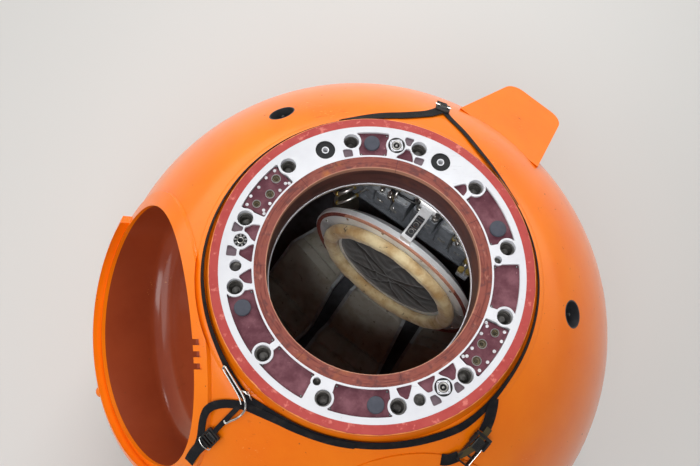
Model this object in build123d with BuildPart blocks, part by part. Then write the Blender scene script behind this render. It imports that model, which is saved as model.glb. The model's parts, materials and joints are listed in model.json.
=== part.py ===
from build123d import *
import os
from math import cos, sin, sqrt, radians

# A crew capsule that has come down: a blunt cone with a domed top, standing on the
# flat ring where its heat shield was. The hatch at the top is open, the main
# parachute bay is empty and the reserve parachute lid is still shut.
# Millimetres. The origin is the centre of the base, +Z runs up through the hatch.
# Angles are compass-like: 0 at +X, 90 at +Y, seen from above.

# Hull
BASE_R = 1100.0
CONE_ANGLE = 7.0
DOME_R = 970.0
WALL = 45.0
RING_TOP = 1884.0
DOME_CENTRE_Z = 999.0
TANGENT_R = DOME_R * cos(radians(CONE_ANGLE))
TANGENT_Z = DOME_CENTRE_Z + DOME_R * sin(radians(CONE_ANGLE))
CONE_SLOPE = (BASE_R - TANGENT_R) / TANGENT_Z
INNER_DOME_R = DOME_R - WALL
WALL_ACROSS = WALL / cos(radians(CONE_ANGLE))
BASE_RING_H = 80.0
BASE_FLANGE_T = 18.0
BASE_FLANGE_R = 1000.0
BASE_BOLT_PCD = 2050.0
BASE_BOLT_R = 8.5
BASE_BOLTS = 24

# Places round the hull
SIGHT_AZ = 54.0
FAIRING_AZ = 50.0
WINDOW_AZ = (144.0, 324.0)
WINDOW_Z = 800.0
BAY_AZ, BAY_POLAR = 190.5, 54.5
BAY_HALF_W, BAY_HALF_H, BAY_DEPTH = 455.0, 340.0, 285.0
BAY_WALL = 10.0
BAY_DRAFT = 40.0
BAY_CORNER = 70.0
LID_AZ, LID_POLAR, LID_R = 278.0, 53.6, 323.0
PORTS = ((116.5, 43.0), (351.5, 43.0))
PORT_R = 42.0

# Hatch ring, heights below the ring top
FRAME_OUT_R = 463.0
BAND_OUT_R = 443.0
BAND_IN_R = 364.0
SEAL_OUT_R = 358.5
HATCH_R = 320.0
RIM_R = 492.0
FRAME_T = 22.0
BODY_T = 38.0
RIM_T = 8.0
TUNNEL_H = 134.0
SEAT_T = 12.0
SEAT_R = 395.0
NECK_R = 506.0

# Sockets in the hatch ring
SOCKETS = 12
SOCKET_START = 9.2
SOCKET_PCD_R = 416.0
SOCKET_R = 24.5
SOCKET_BOSS_R = 31.0
CUP_T = 3.0
CUP_DEPTH = 48.0
PLUG_DEPTH = 40.0

# Hatch lid, open as it stands
LID_OPEN = 87.0
PIVOT_R = 386.0
PIVOT_DOWN = 313.0
HATCH_LID_R = 357.0
HATCH_LID_RISE = 156.0
HATCH_LID_T = 45.0
HATCH_LID_EDGE = 20.0
PIN_R = 10.0

os.makedirs("parts", exist_ok=True)


def hull_r(z):
    """Outer radius of the hull at height z, on the cone or on the dome."""
    if z <= TANGENT_Z:
        return BASE_R - z * CONE_SLOPE
    return sqrt(DOME_R**2 - (z - DOME_CENTRE_Z) ** 2)


def dome_z(radius, sphere_r=DOME_R):
    """Height of the dome above a point at this radius from the axis."""
    return DOME_CENTRE_Z + sqrt(sphere_r**2 - radius**2)


def direction(azimuth, polar):
    """Unit vector from the dome's centre, polar angle measured from the axis."""
    a, p = radians(azimuth), radians(polar)
    return Vector(sin(p) * cos(a), sin(p) * sin(a), cos(p))


def dome_plane(azimuth, polar, distance):
    """Plane square to a line out of the dome's centre. Its x runs level, its y up the dome."""
    out = direction(azimuth, polar)
    level = Vector(-sin(radians(azimuth)), cos(radians(azimuth)), 0)
    return Plane(origin=Vector(0, 0, DOME_CENTRE_Z) + out * distance, x_dir=level, z_dir=out)


def side_plane(azimuth, z, distance, tilt=CONE_ANGLE):
    """Plane square to the cone's wall. Its x runs level, its y up the wall."""
    a = radians(azimuth)
    out = Vector(cos(a) * cos(radians(tilt)), sin(a) * cos(radians(tilt)), sin(radians(tilt)))
    level = Vector(-sin(a), cos(a), 0)
    foot = Vector(cos(a) * hull_r(z), sin(a) * hull_r(z), z)
    return Plane(origin=foot + out * distance, x_dir=level, z_dir=out)


def section_plane(azimuth):
    """Upright plane through the axis. Its x runs out along the azimuth, its y is up."""
    a = radians(azimuth)
    return Plane(origin=(0, 0, 0), x_dir=(cos(a), sin(a), 0), z_dir=(sin(a), -cos(a), 0))


def ring_point(azimuth, radius):
    """Point on the hatch ring, seen from above."""
    return (radius * cos(radians(azimuth)), radius * sin(radians(azimuth)))


def down(depth):
    """Level plane this far below the ring's top."""
    return Plane.XY.offset(RING_TOP - depth)


def spun(points):
    """Solid of revolution about the axis, from corners given as radius and height."""
    with BuildPart() as body:
        with BuildSketch(Plane.XZ):
            Polygon(*points, align=None)
        revolve(axis=Axis.Z)
    return body.part


def finish(piece, name):
    piece.part.label = name
    export_step(piece.part, f"parts/{name}.step")


def ball(radius):
    """Ball about the dome's centre."""
    with BuildPart() as body:
        with Locations((0, 0, DOME_CENTRE_Z)):
            Sphere(radius)
    return body.part


BAY_AXIS = Axis(origin=(0, 0, DOME_CENTRE_Z), direction=direction(BAY_AZ, BAY_POLAR))

# Solids that several pieces are cut with
with BuildPart() as hull_solid:
    with BuildSketch(Plane.XZ):
        with BuildLine():
            Line((0, 0), (BASE_R, 0))
            Line((BASE_R, 0), (TANGENT_R, TANGENT_Z))
            RadiusArc((TANGENT_R, TANGENT_Z), (0, DOME_CENTRE_Z + DOME_R), -DOME_R)
            Line((0, DOME_CENTRE_Z + DOME_R), (0, 0))
        make_face()
    revolve(axis=Axis.Z)

with BuildPart() as bay_core:
    with BuildSketch(dome_plane(BAY_AZ, BAY_POLAR, DOME_R + 60)):
        Ellipse(BAY_HALF_W, BAY_HALF_H)
    with BuildSketch(dome_plane(BAY_AZ, BAY_POLAR, DOME_R - BAY_DEPTH)):
        Ellipse(BAY_HALF_W - BAY_DRAFT, BAY_HALF_H - BAY_DRAFT)
    loft(ruled=True)
    fillet(bay_core.faces().sort_by(BAY_AXIS)[0].edges(), BAY_CORNER)

with BuildPart() as bay_outside:
    with BuildSketch(dome_plane(BAY_AZ, BAY_POLAR, DOME_R + 60)):
        Ellipse(BAY_HALF_W + BAY_WALL, BAY_HALF_H + BAY_WALL)
    with BuildSketch(dome_plane(BAY_AZ, BAY_POLAR, DOME_R - BAY_DEPTH - BAY_WALL)):
        Ellipse(BAY_HALF_W + BAY_WALL - BAY_DRAFT, BAY_HALF_H + BAY_WALL - BAY_DRAFT)
    loft(ruled=True)
    fillet(bay_outside.faces().sort_by(BAY_AXIS)[0].edges(), BAY_CORNER + BAY_WALL)

dome_ball = ball(DOME_R)
inner_ball = ball(INNER_DOME_R)

# Base

with BuildPart() as base_ring:
    add(
        spun(
            (
                (BASE_FLANGE_R, 0),
                (BASE_R, 0),
                (hull_r(BASE_RING_H), BASE_RING_H),
                (hull_r(BASE_RING_H) - WALL_ACROSS, BASE_RING_H),
                (hull_r(BASE_RING_H) - WALL_ACROSS, BASE_FLANGE_T),
                (BASE_FLANGE_R, BASE_FLANGE_T),
            )
        )
    )
    with BuildSketch():
        with PolarLocations(BASE_BOLT_PCD / 2, BASE_BOLTS):
            Circle(BASE_BOLT_R)
    extrude(amount=BASE_FLANGE_T, mode=Mode.SUBTRACT)
finish(base_ring, "base_ring")

BOTTOM_R = hull_r(BASE_RING_H) - WALL_ACROSS
BOTTOM_T = 20.0
BOTTOM_CREST = 150.0


def bottom_arc_z(radius, rise):
    """Height of the shallow bottom dish at this radius, its rim at the flange."""
    curve_r = (BOTTOM_R**2 + rise**2) / (2 * rise)
    return BASE_FLANGE_T + rise - curve_r + sqrt(curve_r**2 - radius**2)


with BuildPart() as bottom_plate:
    with BuildSketch(Plane.XZ):
        with BuildLine():
            ThreePointArc(
                (0, BASE_FLANGE_T + BOTTOM_CREST),
                (BOTTOM_R / 2, bottom_arc_z(BOTTOM_R / 2, BOTTOM_CREST)),
                (BOTTOM_R, BASE_FLANGE_T),
            )
            Line((BOTTOM_R, BASE_FLANGE_T), (BOTTOM_R, BASE_FLANGE_T + BOTTOM_T))
            ThreePointArc(
                (BOTTOM_R, BASE_FLANGE_T + BOTTOM_T),
                (BOTTOM_R / 2, bottom_arc_z(BOTTOM_R / 2, BOTTOM_CREST) + BOTTOM_T),
                (0, BASE_FLANGE_T + BOTTOM_CREST + BOTTOM_T),
            )
            Line((0, BASE_FLANGE_T + BOTTOM_CREST + BOTTOM_T), (0, BASE_FLANGE_T + BOTTOM_CREST))
        make_face()
    revolve(axis=Axis.Z)
finish(bottom_plate, "bottom_plate")

with BuildPart() as under_bottom:
    with BuildSketch(Plane.XZ):
        with BuildLine():
            ThreePointArc(
                (0, BASE_FLANGE_T + BOTTOM_CREST),
                (BOTTOM_R / 2, bottom_arc_z(BOTTOM_R / 2, BOTTOM_CREST)),
                (BOTTOM_R, BASE_FLANGE_T),
            )
            Line((BOTTOM_R, BASE_FLANGE_T), (BOTTOM_R, 0))
            Line((BOTTOM_R, 0), (0, 0))
            Line((0, 0), (0, BASE_FLANGE_T + BOTTOM_CREST))
        make_face()
    revolve(axis=Axis.Z)

# Soft landing engines under the bottom, one pot in each quarter
ENGINE_AT_R = 560.0
ENGINE_R = 125.0
ENGINE_LOW = 28.0
NOZZLE_R = 32.0
with BuildPart() as landing_engines:
    with BuildSketch(Plane.XY.offset(ENGINE_LOW)):
        with PolarLocations(ENGINE_AT_R, 4, start_angle=SIGHT_AZ + 45):
            Circle(ENGINE_R)
    extrude(amount=BOTTOM_CREST)
    add(under_bottom.part, mode=Mode.INTERSECT)
    for k in range(4):
        with BuildSketch(Plane.XY.offset(ENGINE_LOW)):
            with Locations(ring_point(SIGHT_AZ + 45 + 90 * k, ENGINE_AT_R)):
                with PolarLocations(62, 4, start_angle=45):
                    Circle(NOZZLE_R)
        extrude(amount=30, taper=-14, mode=Mode.SUBTRACT)
finish(landing_engines, "landing_engines")

# Hull

with BuildPart() as side_wall:
    add(
        spun(
            (
                (hull_r(BASE_RING_H), BASE_RING_H),
                (TANGENT_R, TANGENT_Z),
                (
                    INNER_DOME_R * cos(radians(CONE_ANGLE)),
                    DOME_CENTRE_Z + INNER_DOME_R * sin(radians(CONE_ANGLE)),
                ),
                (hull_r(BASE_RING_H) - WALL_ACROSS, BASE_RING_H),
            )
        )
    )
    for azimuth in WINDOW_AZ:
        with BuildSketch(side_plane(azimuth, WINDOW_Z, 20)):
            Circle(125)
        extrude(amount=-(WALL + 60), mode=Mode.SUBTRACT)
    for azimuth in (9.0, 99.0, 189.0, 279.0):
        with BuildSketch(side_plane(azimuth, 330, 20)):
            Circle(45)
        extrude(amount=-(WALL + 60), mode=Mode.SUBTRACT)
finish(side_wall, "side_wall")

with BuildPart() as dome_shell:
    with BuildSketch(Plane.XZ):
        with BuildLine():
            RadiusArc((TANGENT_R, TANGENT_Z), (NECK_R, dome_z(NECK_R)), -DOME_R)
            Line((NECK_R, dome_z(NECK_R)), (NECK_R, dome_z(NECK_R, INNER_DOME_R)))
            RadiusArc(
                (NECK_R, dome_z(NECK_R, INNER_DOME_R)),
                (
                    INNER_DOME_R * cos(radians(CONE_ANGLE)),
                    DOME_CENTRE_Z + INNER_DOME_R * sin(radians(CONE_ANGLE)),
                ),
                INNER_DOME_R,
            )
            Line(
                (
                    INNER_DOME_R * cos(radians(CONE_ANGLE)),
                    DOME_CENTRE_Z + INNER_DOME_R * sin(radians(CONE_ANGLE)),
                ),
                (TANGENT_R, TANGENT_Z),
            )
        make_face()
    revolve(axis=Axis.Z)
    add(bay_outside.part, mode=Mode.SUBTRACT)
    with BuildSketch(dome_plane(LID_AZ, LID_POLAR, 600)):
        Circle(LID_R + 2)
    extrude(amount=500, mode=Mode.SUBTRACT)
    for azimuth, polar in PORTS:
        with BuildSketch(dome_plane(azimuth, polar, 800)):
            Circle(PORT_R + 4)
        extrude(amount=300, mode=Mode.SUBTRACT)
finish(dome_shell, "dome_shell")

with BuildPart() as neck_wall:
    add(
        spun(
            (
                (SEAL_OUT_R, RING_TOP - FRAME_T - BODY_T),
                (470, RING_TOP - FRAME_T - BODY_T),
                (470, RING_TOP - RIM_T),
                (RIM_R - 1, RING_TOP - RIM_T),
                (RIM_R + 1, RING_TOP - 20),
                (NECK_R, dome_z(NECK_R)),
                (NECK_R, dome_z(NECK_R, INNER_DOME_R)),
                (470, dome_z(NECK_R, INNER_DOME_R)),
                (470, RING_TOP - 84),
                (SEAL_OUT_R, RING_TOP - 84),
            )
        )
    )
finish(neck_wall, "neck_wall")

# Main parachute bay, empty, its lid gone

with BuildPart() as chute_bay:
    add(bay_outside.part)
    add(bay_core.part, mode=Mode.SUBTRACT)
    add(dome_ball, mode=Mode.INTERSECT)
finish(chute_bay, "chute_bay")

BAY_RIM_W = 34.0
BAY_RIM_T = 12.0
BAY_RIM_NECK_R = 540.0
BAY_LIP_W = 24.0
BAY_LIP_T = 42.0
BAY_LIP_END = -120.0
BAY_FACE = dome_plane(BAY_AZ, BAY_POLAR, 0)
# Lashing pockets in the raised lip: place in the bay's face and the way they lie
LIP_POCKETS = ((196.0, -347.0, 18.0), (276.0, -312.0, 28.0))
with BuildPart() as pocket_cuts:
    with BuildSketch(BAY_FACE):
        for x, y, turn in LIP_POCKETS:
            with Locations(Location((x, y), turn)):
                Rectangle(62, 18)
    extrude(amount=DOME_R + 100)
    add(ball(DOME_R + BAY_LIP_T - 8), mode=Mode.INTERSECT)
    add(ball(DOME_R + 8), mode=Mode.SUBTRACT)

with BuildPart() as bay_lip:
    with BuildSketch(BAY_FACE):
        Ellipse(BAY_HALF_W + BAY_RIM_W, BAY_HALF_H + BAY_RIM_W)
        Ellipse(BAY_HALF_W + BAY_RIM_W - BAY_LIP_W, BAY_HALF_H + BAY_RIM_W - BAY_LIP_W, mode=Mode.SUBTRACT)
        with Locations((0, BAY_LIP_END)):
            Rectangle(1200, 1000, align=(Align.CENTER, Align.MIN), mode=Mode.SUBTRACT)
    extrude(amount=DOME_R + 100)
    add(ball(DOME_R + BAY_LIP_T), mode=Mode.INTERSECT)
    add(ball(DOME_R + 4), mode=Mode.SUBTRACT)
    add(pocket_cuts.part, mode=Mode.SUBTRACT)

with BuildPart() as bay_rim:
    with BuildSketch(dome_plane(BAY_AZ, BAY_POLAR, DOME_R - 300)):
        Ellipse(BAY_HALF_W + BAY_RIM_W, BAY_HALF_H + BAY_RIM_W)
    extrude(amount=400)
    add(ball(DOME_R + BAY_RIM_T), mode=Mode.INTERSECT)
    add(dome_ball, mode=Mode.SUBTRACT)
    add(bay_core.part, mode=Mode.SUBTRACT)
    with BuildSketch(dome_plane(BAY_AZ, BAY_POLAR, DOME_R - 300)):
        with Locations(Location((152, BAY_HALF_H - 22), -15)):
            with GridLocations(36, 1, 3, 1):
                Rectangle(18, 32)
    extrude(amount=400, mode=Mode.SUBTRACT)
    with Locations((0, 0, RING_TOP)):
        Cylinder(BAY_RIM_NECK_R, 600, mode=Mode.SUBTRACT)
    add(bay_lip.part)
    with Locations(BAY_FACE.from_local_coords((118, -378, 918))):
        Sphere(22)
finish(bay_rim, "bay_rim")

# Reserve parachute, lid shut over its drum

with BuildPart() as reserve_lid:
    with BuildSketch(dome_plane(LID_AZ, LID_POLAR, 600)):
        Circle(LID_R)
    extrude(amount=450)
    add(ball(DOME_R + 3), mode=Mode.INTERSECT)
    add(inner_ball, mode=Mode.SUBTRACT)
finish(reserve_lid, "reserve_lid")

with BuildPart() as reserve_drum:
    with BuildSketch(dome_plane(LID_AZ, LID_POLAR, 690)):
        Circle(245)
    extrude(amount=300)
    add(inner_ball, mode=Mode.INTERSECT)
finish(reserve_drum, "reserve_drum")

# Small ports in the dome, each a cup with a pin

with BuildPart() as dome_ports:
    for azimuth, polar in PORTS:
        with BuildSketch(dome_plane(azimuth, polar, DOME_R - 70)):
            Circle(PORT_R + 4)
        extrude(amount=90)
    add(dome_ball, mode=Mode.INTERSECT)
    for azimuth, polar in PORTS:
        with BuildSketch(dome_plane(azimuth, polar, DOME_R - 64)):
            Circle(PORT_R)
            Circle(5, mode=Mode.SUBTRACT)
        extrude(amount=90, mode=Mode.SUBTRACT)
        with BuildSketch(dome_plane(azimuth, polar, DOME_R - 12)):
            Circle(8)
        extrude(amount=40, mode=Mode.SUBTRACT)
finish(dome_ports, "dome_ports")

# Windows

with BuildPart() as window_frames:
    for azimuth in WINDOW_AZ:
        with BuildSketch(side_plane(azimuth, WINDOW_Z, -30)):
            Circle(150)
        extrude(amount=42)
    add(hull_solid.part, mode=Mode.SUBTRACT)
    for azimuth in WINDOW_AZ:
        with BuildSketch(side_plane(azimuth, WINDOW_Z, 6)):
            Circle(125)
        extrude(amount=-(WALL + 14))
        with BuildSketch(side_plane(azimuth, WINDOW_Z, 20)):
            Circle(100)
        extrude(amount=-(WALL + 60), mode=Mode.SUBTRACT)
finish(window_frames, "window_frames")

with BuildPart() as window_panes:
    for azimuth in WINDOW_AZ:
        with BuildSketch(side_plane(azimuth, WINDOW_Z, -14)):
            Circle(100)
        extrude(amount=-12)
finish(window_panes, "window_panes")

# Optical sight fairing, on the side away from the parachutes

SIGHT_FACE_R = 1085.0
SIGHT_FACE_Z = (1080.0, 1390.0)
SIGHT_HALF_W = 120.0
SIGHT_ROOT_W = 195.0
SIGHT_CORNER = 60.0
FAIRING_OUT = (cos(radians(FAIRING_AZ)), sin(radians(FAIRING_AZ)), 0)
FAIRING_LEFT = (-sin(radians(FAIRING_AZ)), cos(radians(FAIRING_AZ)), 0)
with BuildPart() as sight_fairing:
    with BuildSketch(section_plane(FAIRING_AZ)) as side_shape:
        Polygon(
            (900, 800),
            (985, 800),
            (SIGHT_FACE_R, SIGHT_FACE_Z[0]),
            (SIGHT_FACE_R, SIGHT_FACE_Z[1]),
            (740, 1613),
            (700, 1400),
            align=None,
        )
        fillet(
            side_shape.vertices().filter_by(lambda v: v.Z > 1000 and v.X**2 + v.Y**2 > 1000**2),
            SIGHT_CORNER,
        )
    extrude(amount=SIGHT_ROOT_W, both=True)
    with BuildSketch(Plane(origin=(0, 0, 780), x_dir=FAIRING_OUT, z_dir=(0, 0, 1))) as plan_shape:
        Polygon(
            (600, -SIGHT_ROOT_W),
            (SIGHT_FACE_R, -SIGHT_HALF_W),
            (SIGHT_FACE_R, SIGHT_HALF_W),
            (600, SIGHT_ROOT_W),
            align=None,
        )
        fillet(plan_shape.vertices().filter_by(lambda v: v.X**2 + v.Y**2 > 1000**2), SIGHT_CORNER)
    extrude(amount=900, mode=Mode.INTERSECT)
    add(hull_solid.part, mode=Mode.SUBTRACT)
finish(sight_fairing, "sight_fairing")

SIGHT_LENS_Z = 1235.0
SIGHT_LENS_PLANE = Plane(
    origin=(SIGHT_FACE_R * FAIRING_OUT[0], SIGHT_FACE_R * FAIRING_OUT[1], SIGHT_LENS_Z),
    x_dir=FAIRING_LEFT,
    z_dir=FAIRING_OUT,
)
with BuildPart() as sight_window:
    with BuildSketch(SIGHT_LENS_PLANE):
        Circle(75)
    extrude(amount=10)
    with BuildSketch(SIGHT_LENS_PLANE.offset(3)):
        Circle(56)
    extrude(amount=10, mode=Mode.SUBTRACT)
finish(sight_window, "sight_window")

# Thruster nozzles, flush with the wall

with BuildPart() as thruster_nozzles:
    for azimuth in (9.0, 99.0, 189.0, 279.0):
        with BuildSketch(side_plane(azimuth, 330, 20)):
            Circle(45)
        extrude(amount=-(WALL + 24))
    add(hull_solid.part, mode=Mode.INTERSECT)
    for azimuth in (9.0, 99.0, 189.0, 279.0):
        with BuildSketch(side_plane(azimuth, 330, 3)):
            Circle(34)
        extrude(amount=-40, taper=25, mode=Mode.SUBTRACT)
finish(thruster_nozzles, "thruster_nozzles")

# Hatch ring. Gaps in the white web: start and end angle, inner and outer radius
WEB_POCKETS = (
    (191.5, 218.0, BAND_IN_R, BAND_OUT_R),
    (221.0, 242.0, BAND_IN_R, BAND_OUT_R),
    (252.0, 276.5, BAND_IN_R, BAND_OUT_R),
    (341.0, 362.0, BAND_IN_R, BAND_OUT_R),
    (11.5, 37.5, BAND_IN_R, BAND_OUT_R),
    (83.0, 96.4, BAND_IN_R, BAND_OUT_R),
    (132.5, 155.5, BAND_IN_R, BAND_OUT_R),
    (312.5, 335.5, BAND_IN_R, BAND_OUT_R),
    (65.0, 69.5, BAND_IN_R, 390.0),
    (99.5, 104.0, BAND_IN_R, 392.0),
    (162.0, 166.2, 415.0, BAND_OUT_R),
    (172.0, 176.3, 415.0, BAND_OUT_R),
    (292.1, 295.9, 418.0, BAND_OUT_R),
    (302.4, 306.1, 418.0, BAND_OUT_R),
    (72.4, 76.1, 418.0, BAND_OUT_R),
)
# Three-cornered gaps on the inner band: start and end angle, angle and radius of the tip
WEB_TRIANGLES = (
    (279.6, 286.8, 282.6, 399.0),
    (289.6, 296.6, 293.5, 399.0),
    (301.6, 309.0, 305.2, 404.0),
    (39.6, 46.2, 42.0, 396.0),
    (69.7, 76.8, 74.0, 402.0),
    (159.7, 168.8, 163.7, 407.0),
    (169.6, 178.7, 174.3, 404.0),
    (181.6, 189.2, 185.7, 399.0),
)
# Round fittings: angle, radius from the axis, hole radius, boss radius
GUIDE_BORES = ((180.3, 412.0, 18.0, 24.0), (288.1, 412.0, 18.0, 24.0))
SMALL_BORES = ((244.1, 380.0, 12.0, 18.0), (4.2, 380.0, 12.0, 18.0))
GEAR_SOCKET = ((169.1, 408.0, 21.0, 31.0),)
PIN_CONNECTORS = ((79.2, 407.0, 27.0, 33.0), (299.0, 407.0, 27.0, 33.0))
BLACK_SOCKETS = ((111.4, 407.0, 31.0, 36.0), (58.2, 407.0, 31.0, 36.0))
RUBBER_CAPS = ((90.2, 407.0, 25.0), (198.5, 407.0, 25.0), (270.3, 407.0, 25.0), (18.5, 406.0, 26.0))
FITTINGS = GUIDE_BORES + SMALL_BORES + GEAR_SOCKET + PIN_CONNECTORS + BLACK_SOCKETS
SOCKET_ANGLES = [SOCKET_START + 360 / SOCKETS * k for k in range(SOCKETS)]
RIB_W = 5.0
GAP_CORNER = 5.0


def ring_sector(start, end, inner, outer, corner):
    """Flat piece of a ring between two angles and two radii, its corners rounded."""
    with BuildSketch() as shape:
        with BuildLine():
            CenterArc((0, 0), inner, start, end - start)
            Line(ring_point(end, inner), ring_point(end, outer))
            CenterArc((0, 0), outer, start, end - start)
            Line(ring_point(start, outer), ring_point(start, inner))
        make_face()
        fillet(shape.vertices(), corner)
    return shape.sketch


def ring_triangle(start, end, tip_angle, tip_r, corner):
    """Flat triangle that stands on the inner band and points outwards."""
    with BuildSketch() as shape:
        with BuildLine():
            CenterArc((0, 0), BAND_IN_R, start, end - start)
            Line(ring_point(end, BAND_IN_R), ring_point(tip_angle, tip_r))
            Line(ring_point(tip_angle, tip_r), ring_point(start, BAND_IN_R))
        make_face()
        fillet(shape.vertices(), corner)
    return shape.sketch


web_gaps = [ring_sector(*row, GAP_CORNER) for row in WEB_POCKETS]
web_gaps += [ring_triangle(*row, GAP_CORNER - 1) for row in WEB_TRIANGLES]

with BuildPart() as hatch_frame:
    with BuildSketch(down(FRAME_T)):
        Circle(FRAME_OUT_R)
        Circle(SEAL_OUT_R, mode=Mode.SUBTRACT)
        for gap in web_gaps:
            add(gap, mode=Mode.SUBTRACT)
        for angle in SOCKET_ANGLES:
            with Locations(ring_point(angle, SOCKET_PCD_R)):
                Circle(SOCKET_BOSS_R)
            with Locations(Location(ring_point(angle, (BAND_IN_R + SOCKET_PCD_R) / 2), angle)):
                Rectangle(SOCKET_PCD_R - BAND_IN_R, RIB_W)
        for angle, radius, hole_r, boss_r in FITTINGS:
            with Locations(ring_point(angle, radius)):
                Circle(boss_r)
        Circle(SEAL_OUT_R, mode=Mode.SUBTRACT)
        for angle in SOCKET_ANGLES:
            with Locations(ring_point(angle, SOCKET_PCD_R)):
                Circle(SOCKET_R, mode=Mode.SUBTRACT)
        for angle, radius, hole_r, boss_r in FITTINGS:
            with Locations(ring_point(angle, radius)):
                Circle(hole_r, mode=Mode.SUBTRACT)
    extrude(amount=FRAME_T)
finish(hatch_frame, "hatch_frame")

with BuildPart() as ring_body:
    add(
        spun(
            (
                (SEAL_OUT_R, RING_TOP - FRAME_T - BODY_T),
                (470, RING_TOP - FRAME_T - BODY_T),
                (470, RING_TOP - RIM_T),
                (RIM_R, RING_TOP - RIM_T),
                (RIM_R, RING_TOP - 3),
                (RIM_R - 3, RING_TOP),
                (FRAME_OUT_R, RING_TOP),
                (FRAME_OUT_R, RING_TOP - FRAME_T),
                (SEAL_OUT_R, RING_TOP - FRAME_T),
            )
        )
    )
    with BuildSketch(down(FRAME_T)):
        for angle in SOCKET_ANGLES:
            with Locations(ring_point(angle, SOCKET_PCD_R)):
                Circle(SOCKET_R + CUP_T)
        for angle, radius, hole_r, boss_r in FITTINGS:
            with Locations(ring_point(angle, radius)):
                Circle(hole_r + CUP_T)
    extrude(amount=-32, mode=Mode.SUBTRACT)
finish(ring_body, "ring_body")

with BuildPart() as seal_ring:
    with BuildSketch(down(FRAME_T)):
        Circle(SEAL_OUT_R)
        Circle(HATCH_R + 2, mode=Mode.SUBTRACT)
    extrude(amount=FRAME_T)
finish(seal_ring, "seal_ring")

with BuildPart() as tunnel_wall:
    with BuildSketch(down(TUNNEL_H)):
        Circle(SEAL_OUT_R)
        Circle(HATCH_R + 2, mode=Mode.SUBTRACT)
    extrude(amount=TUNNEL_H - FRAME_T)
finish(tunnel_wall, "tunnel_wall")

with BuildPart() as seat_flange:
    with BuildSketch(down(TUNNEL_H + SEAT_T)):
        Circle(SEAT_R)
        Circle(HATCH_R, mode=Mode.SUBTRACT)
    extrude(amount=SEAT_T)
    with BuildSketch(down(TUNNEL_H)):
        Circle(SEAT_R)
        Circle(SEAL_OUT_R, mode=Mode.SUBTRACT)
    extrude(amount=TUNNEL_H - 84)
finish(seat_flange, "seat_flange")


def cup(angle, radius, bore, depth):
    """Closed-bottom cup let into the ring under a hole in the white web."""
    with BuildPart() as body:
        with BuildSketch(down(FRAME_T)):
            with Locations(ring_point(angle, radius)):
                Circle(bore + CUP_T)
        extrude(amount=-(depth - FRAME_T + CUP_T))
        with BuildSketch(down(FRAME_T)):
            with Locations(ring_point(angle, radius)):
                Circle(bore)
        extrude(amount=-(depth - FRAME_T), mode=Mode.SUBTRACT)
    return body.part


with BuildPart() as socket_cups:
    for angle in SOCKET_ANGLES:
        add(cup(angle, SOCKET_PCD_R, SOCKET_R, CUP_DEPTH))
    for angle, radius, hole_r, boss_r in GUIDE_BORES + SMALL_BORES:
        add(cup(angle, radius, hole_r, PLUG_DEPTH))
finish(socket_cups, "socket_cups")

# Connectors that fill a hole in the web: two with a pin, one with a toothed bore
with BuildPart() as ring_connectors:
    for angle, radius, hole_r, boss_r in PIN_CONNECTORS:
        with BuildSketch(down(PLUG_DEPTH)):
            with Locations(ring_point(angle, radius)):
                Circle(hole_r)
        extrude(amount=PLUG_DEPTH - 2)
        with BuildSketch(down(14)):
            with Locations(ring_point(angle, radius)):
                Circle(22)
                Circle(13, mode=Mode.SUBTRACT)
        extrude(amount=14, mode=Mode.SUBTRACT)
        with BuildSketch(down(20)):
            with Locations(ring_point(angle, radius)):
                Circle(10)
                Circle(3.5, mode=Mode.SUBTRACT)
        extrude(amount=20, mode=Mode.SUBTRACT)
    for angle, radius, hole_r, boss_r in GEAR_SOCKET:
        with BuildSketch(down(PLUG_DEPTH)):
            with Locations(ring_point(angle, radius)):
                Circle(hole_r)
        extrude(amount=PLUG_DEPTH - 3)
        with BuildSketch(down(PLUG_DEPTH - 6)):
            with Locations(ring_point(angle, radius)):
                Circle(12)
                with PolarLocations(13, 8):
                    Circle(3.6)
        extrude(amount=PLUG_DEPTH, mode=Mode.SUBTRACT)
finish(ring_connectors, "ring_connectors")

with BuildPart() as black_sockets:
    for angle, radius, hole_r, boss_r in BLACK_SOCKETS:
        with BuildSketch(down(PLUG_DEPTH)):
            with Locations(ring_point(angle, radius)):
                Circle(hole_r)
        extrude(amount=PLUG_DEPTH - 4)
        with BuildSketch(down(PLUG_DEPTH - 6)):
            with Locations(ring_point(angle, radius)):
                Circle(11.5)
        extrude(amount=PLUG_DEPTH, mode=Mode.SUBTRACT)
finish(black_sockets, "black_sockets")

with BuildPart() as socket_bushes:
    for angle, radius, hole_r, boss_r in BLACK_SOCKETS:
        with BuildSketch(down(PLUG_DEPTH - 6)):
            with Locations(ring_point(angle, radius)):
                Circle(11.5)
                Circle(8, mode=Mode.SUBTRACT)
        extrude(amount=PLUG_DEPTH - 8)
finish(socket_bushes, "socket_bushes")

with BuildPart() as rubber_caps:
    for angle, radius, cap_r in RUBBER_CAPS:
        with BuildSketch(down(FRAME_T)):
            with Locations(ring_point(angle, radius)):
                Circle(cap_r)
        extrude(amount=12)
finish(rubber_caps, "rubber_caps")

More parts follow.
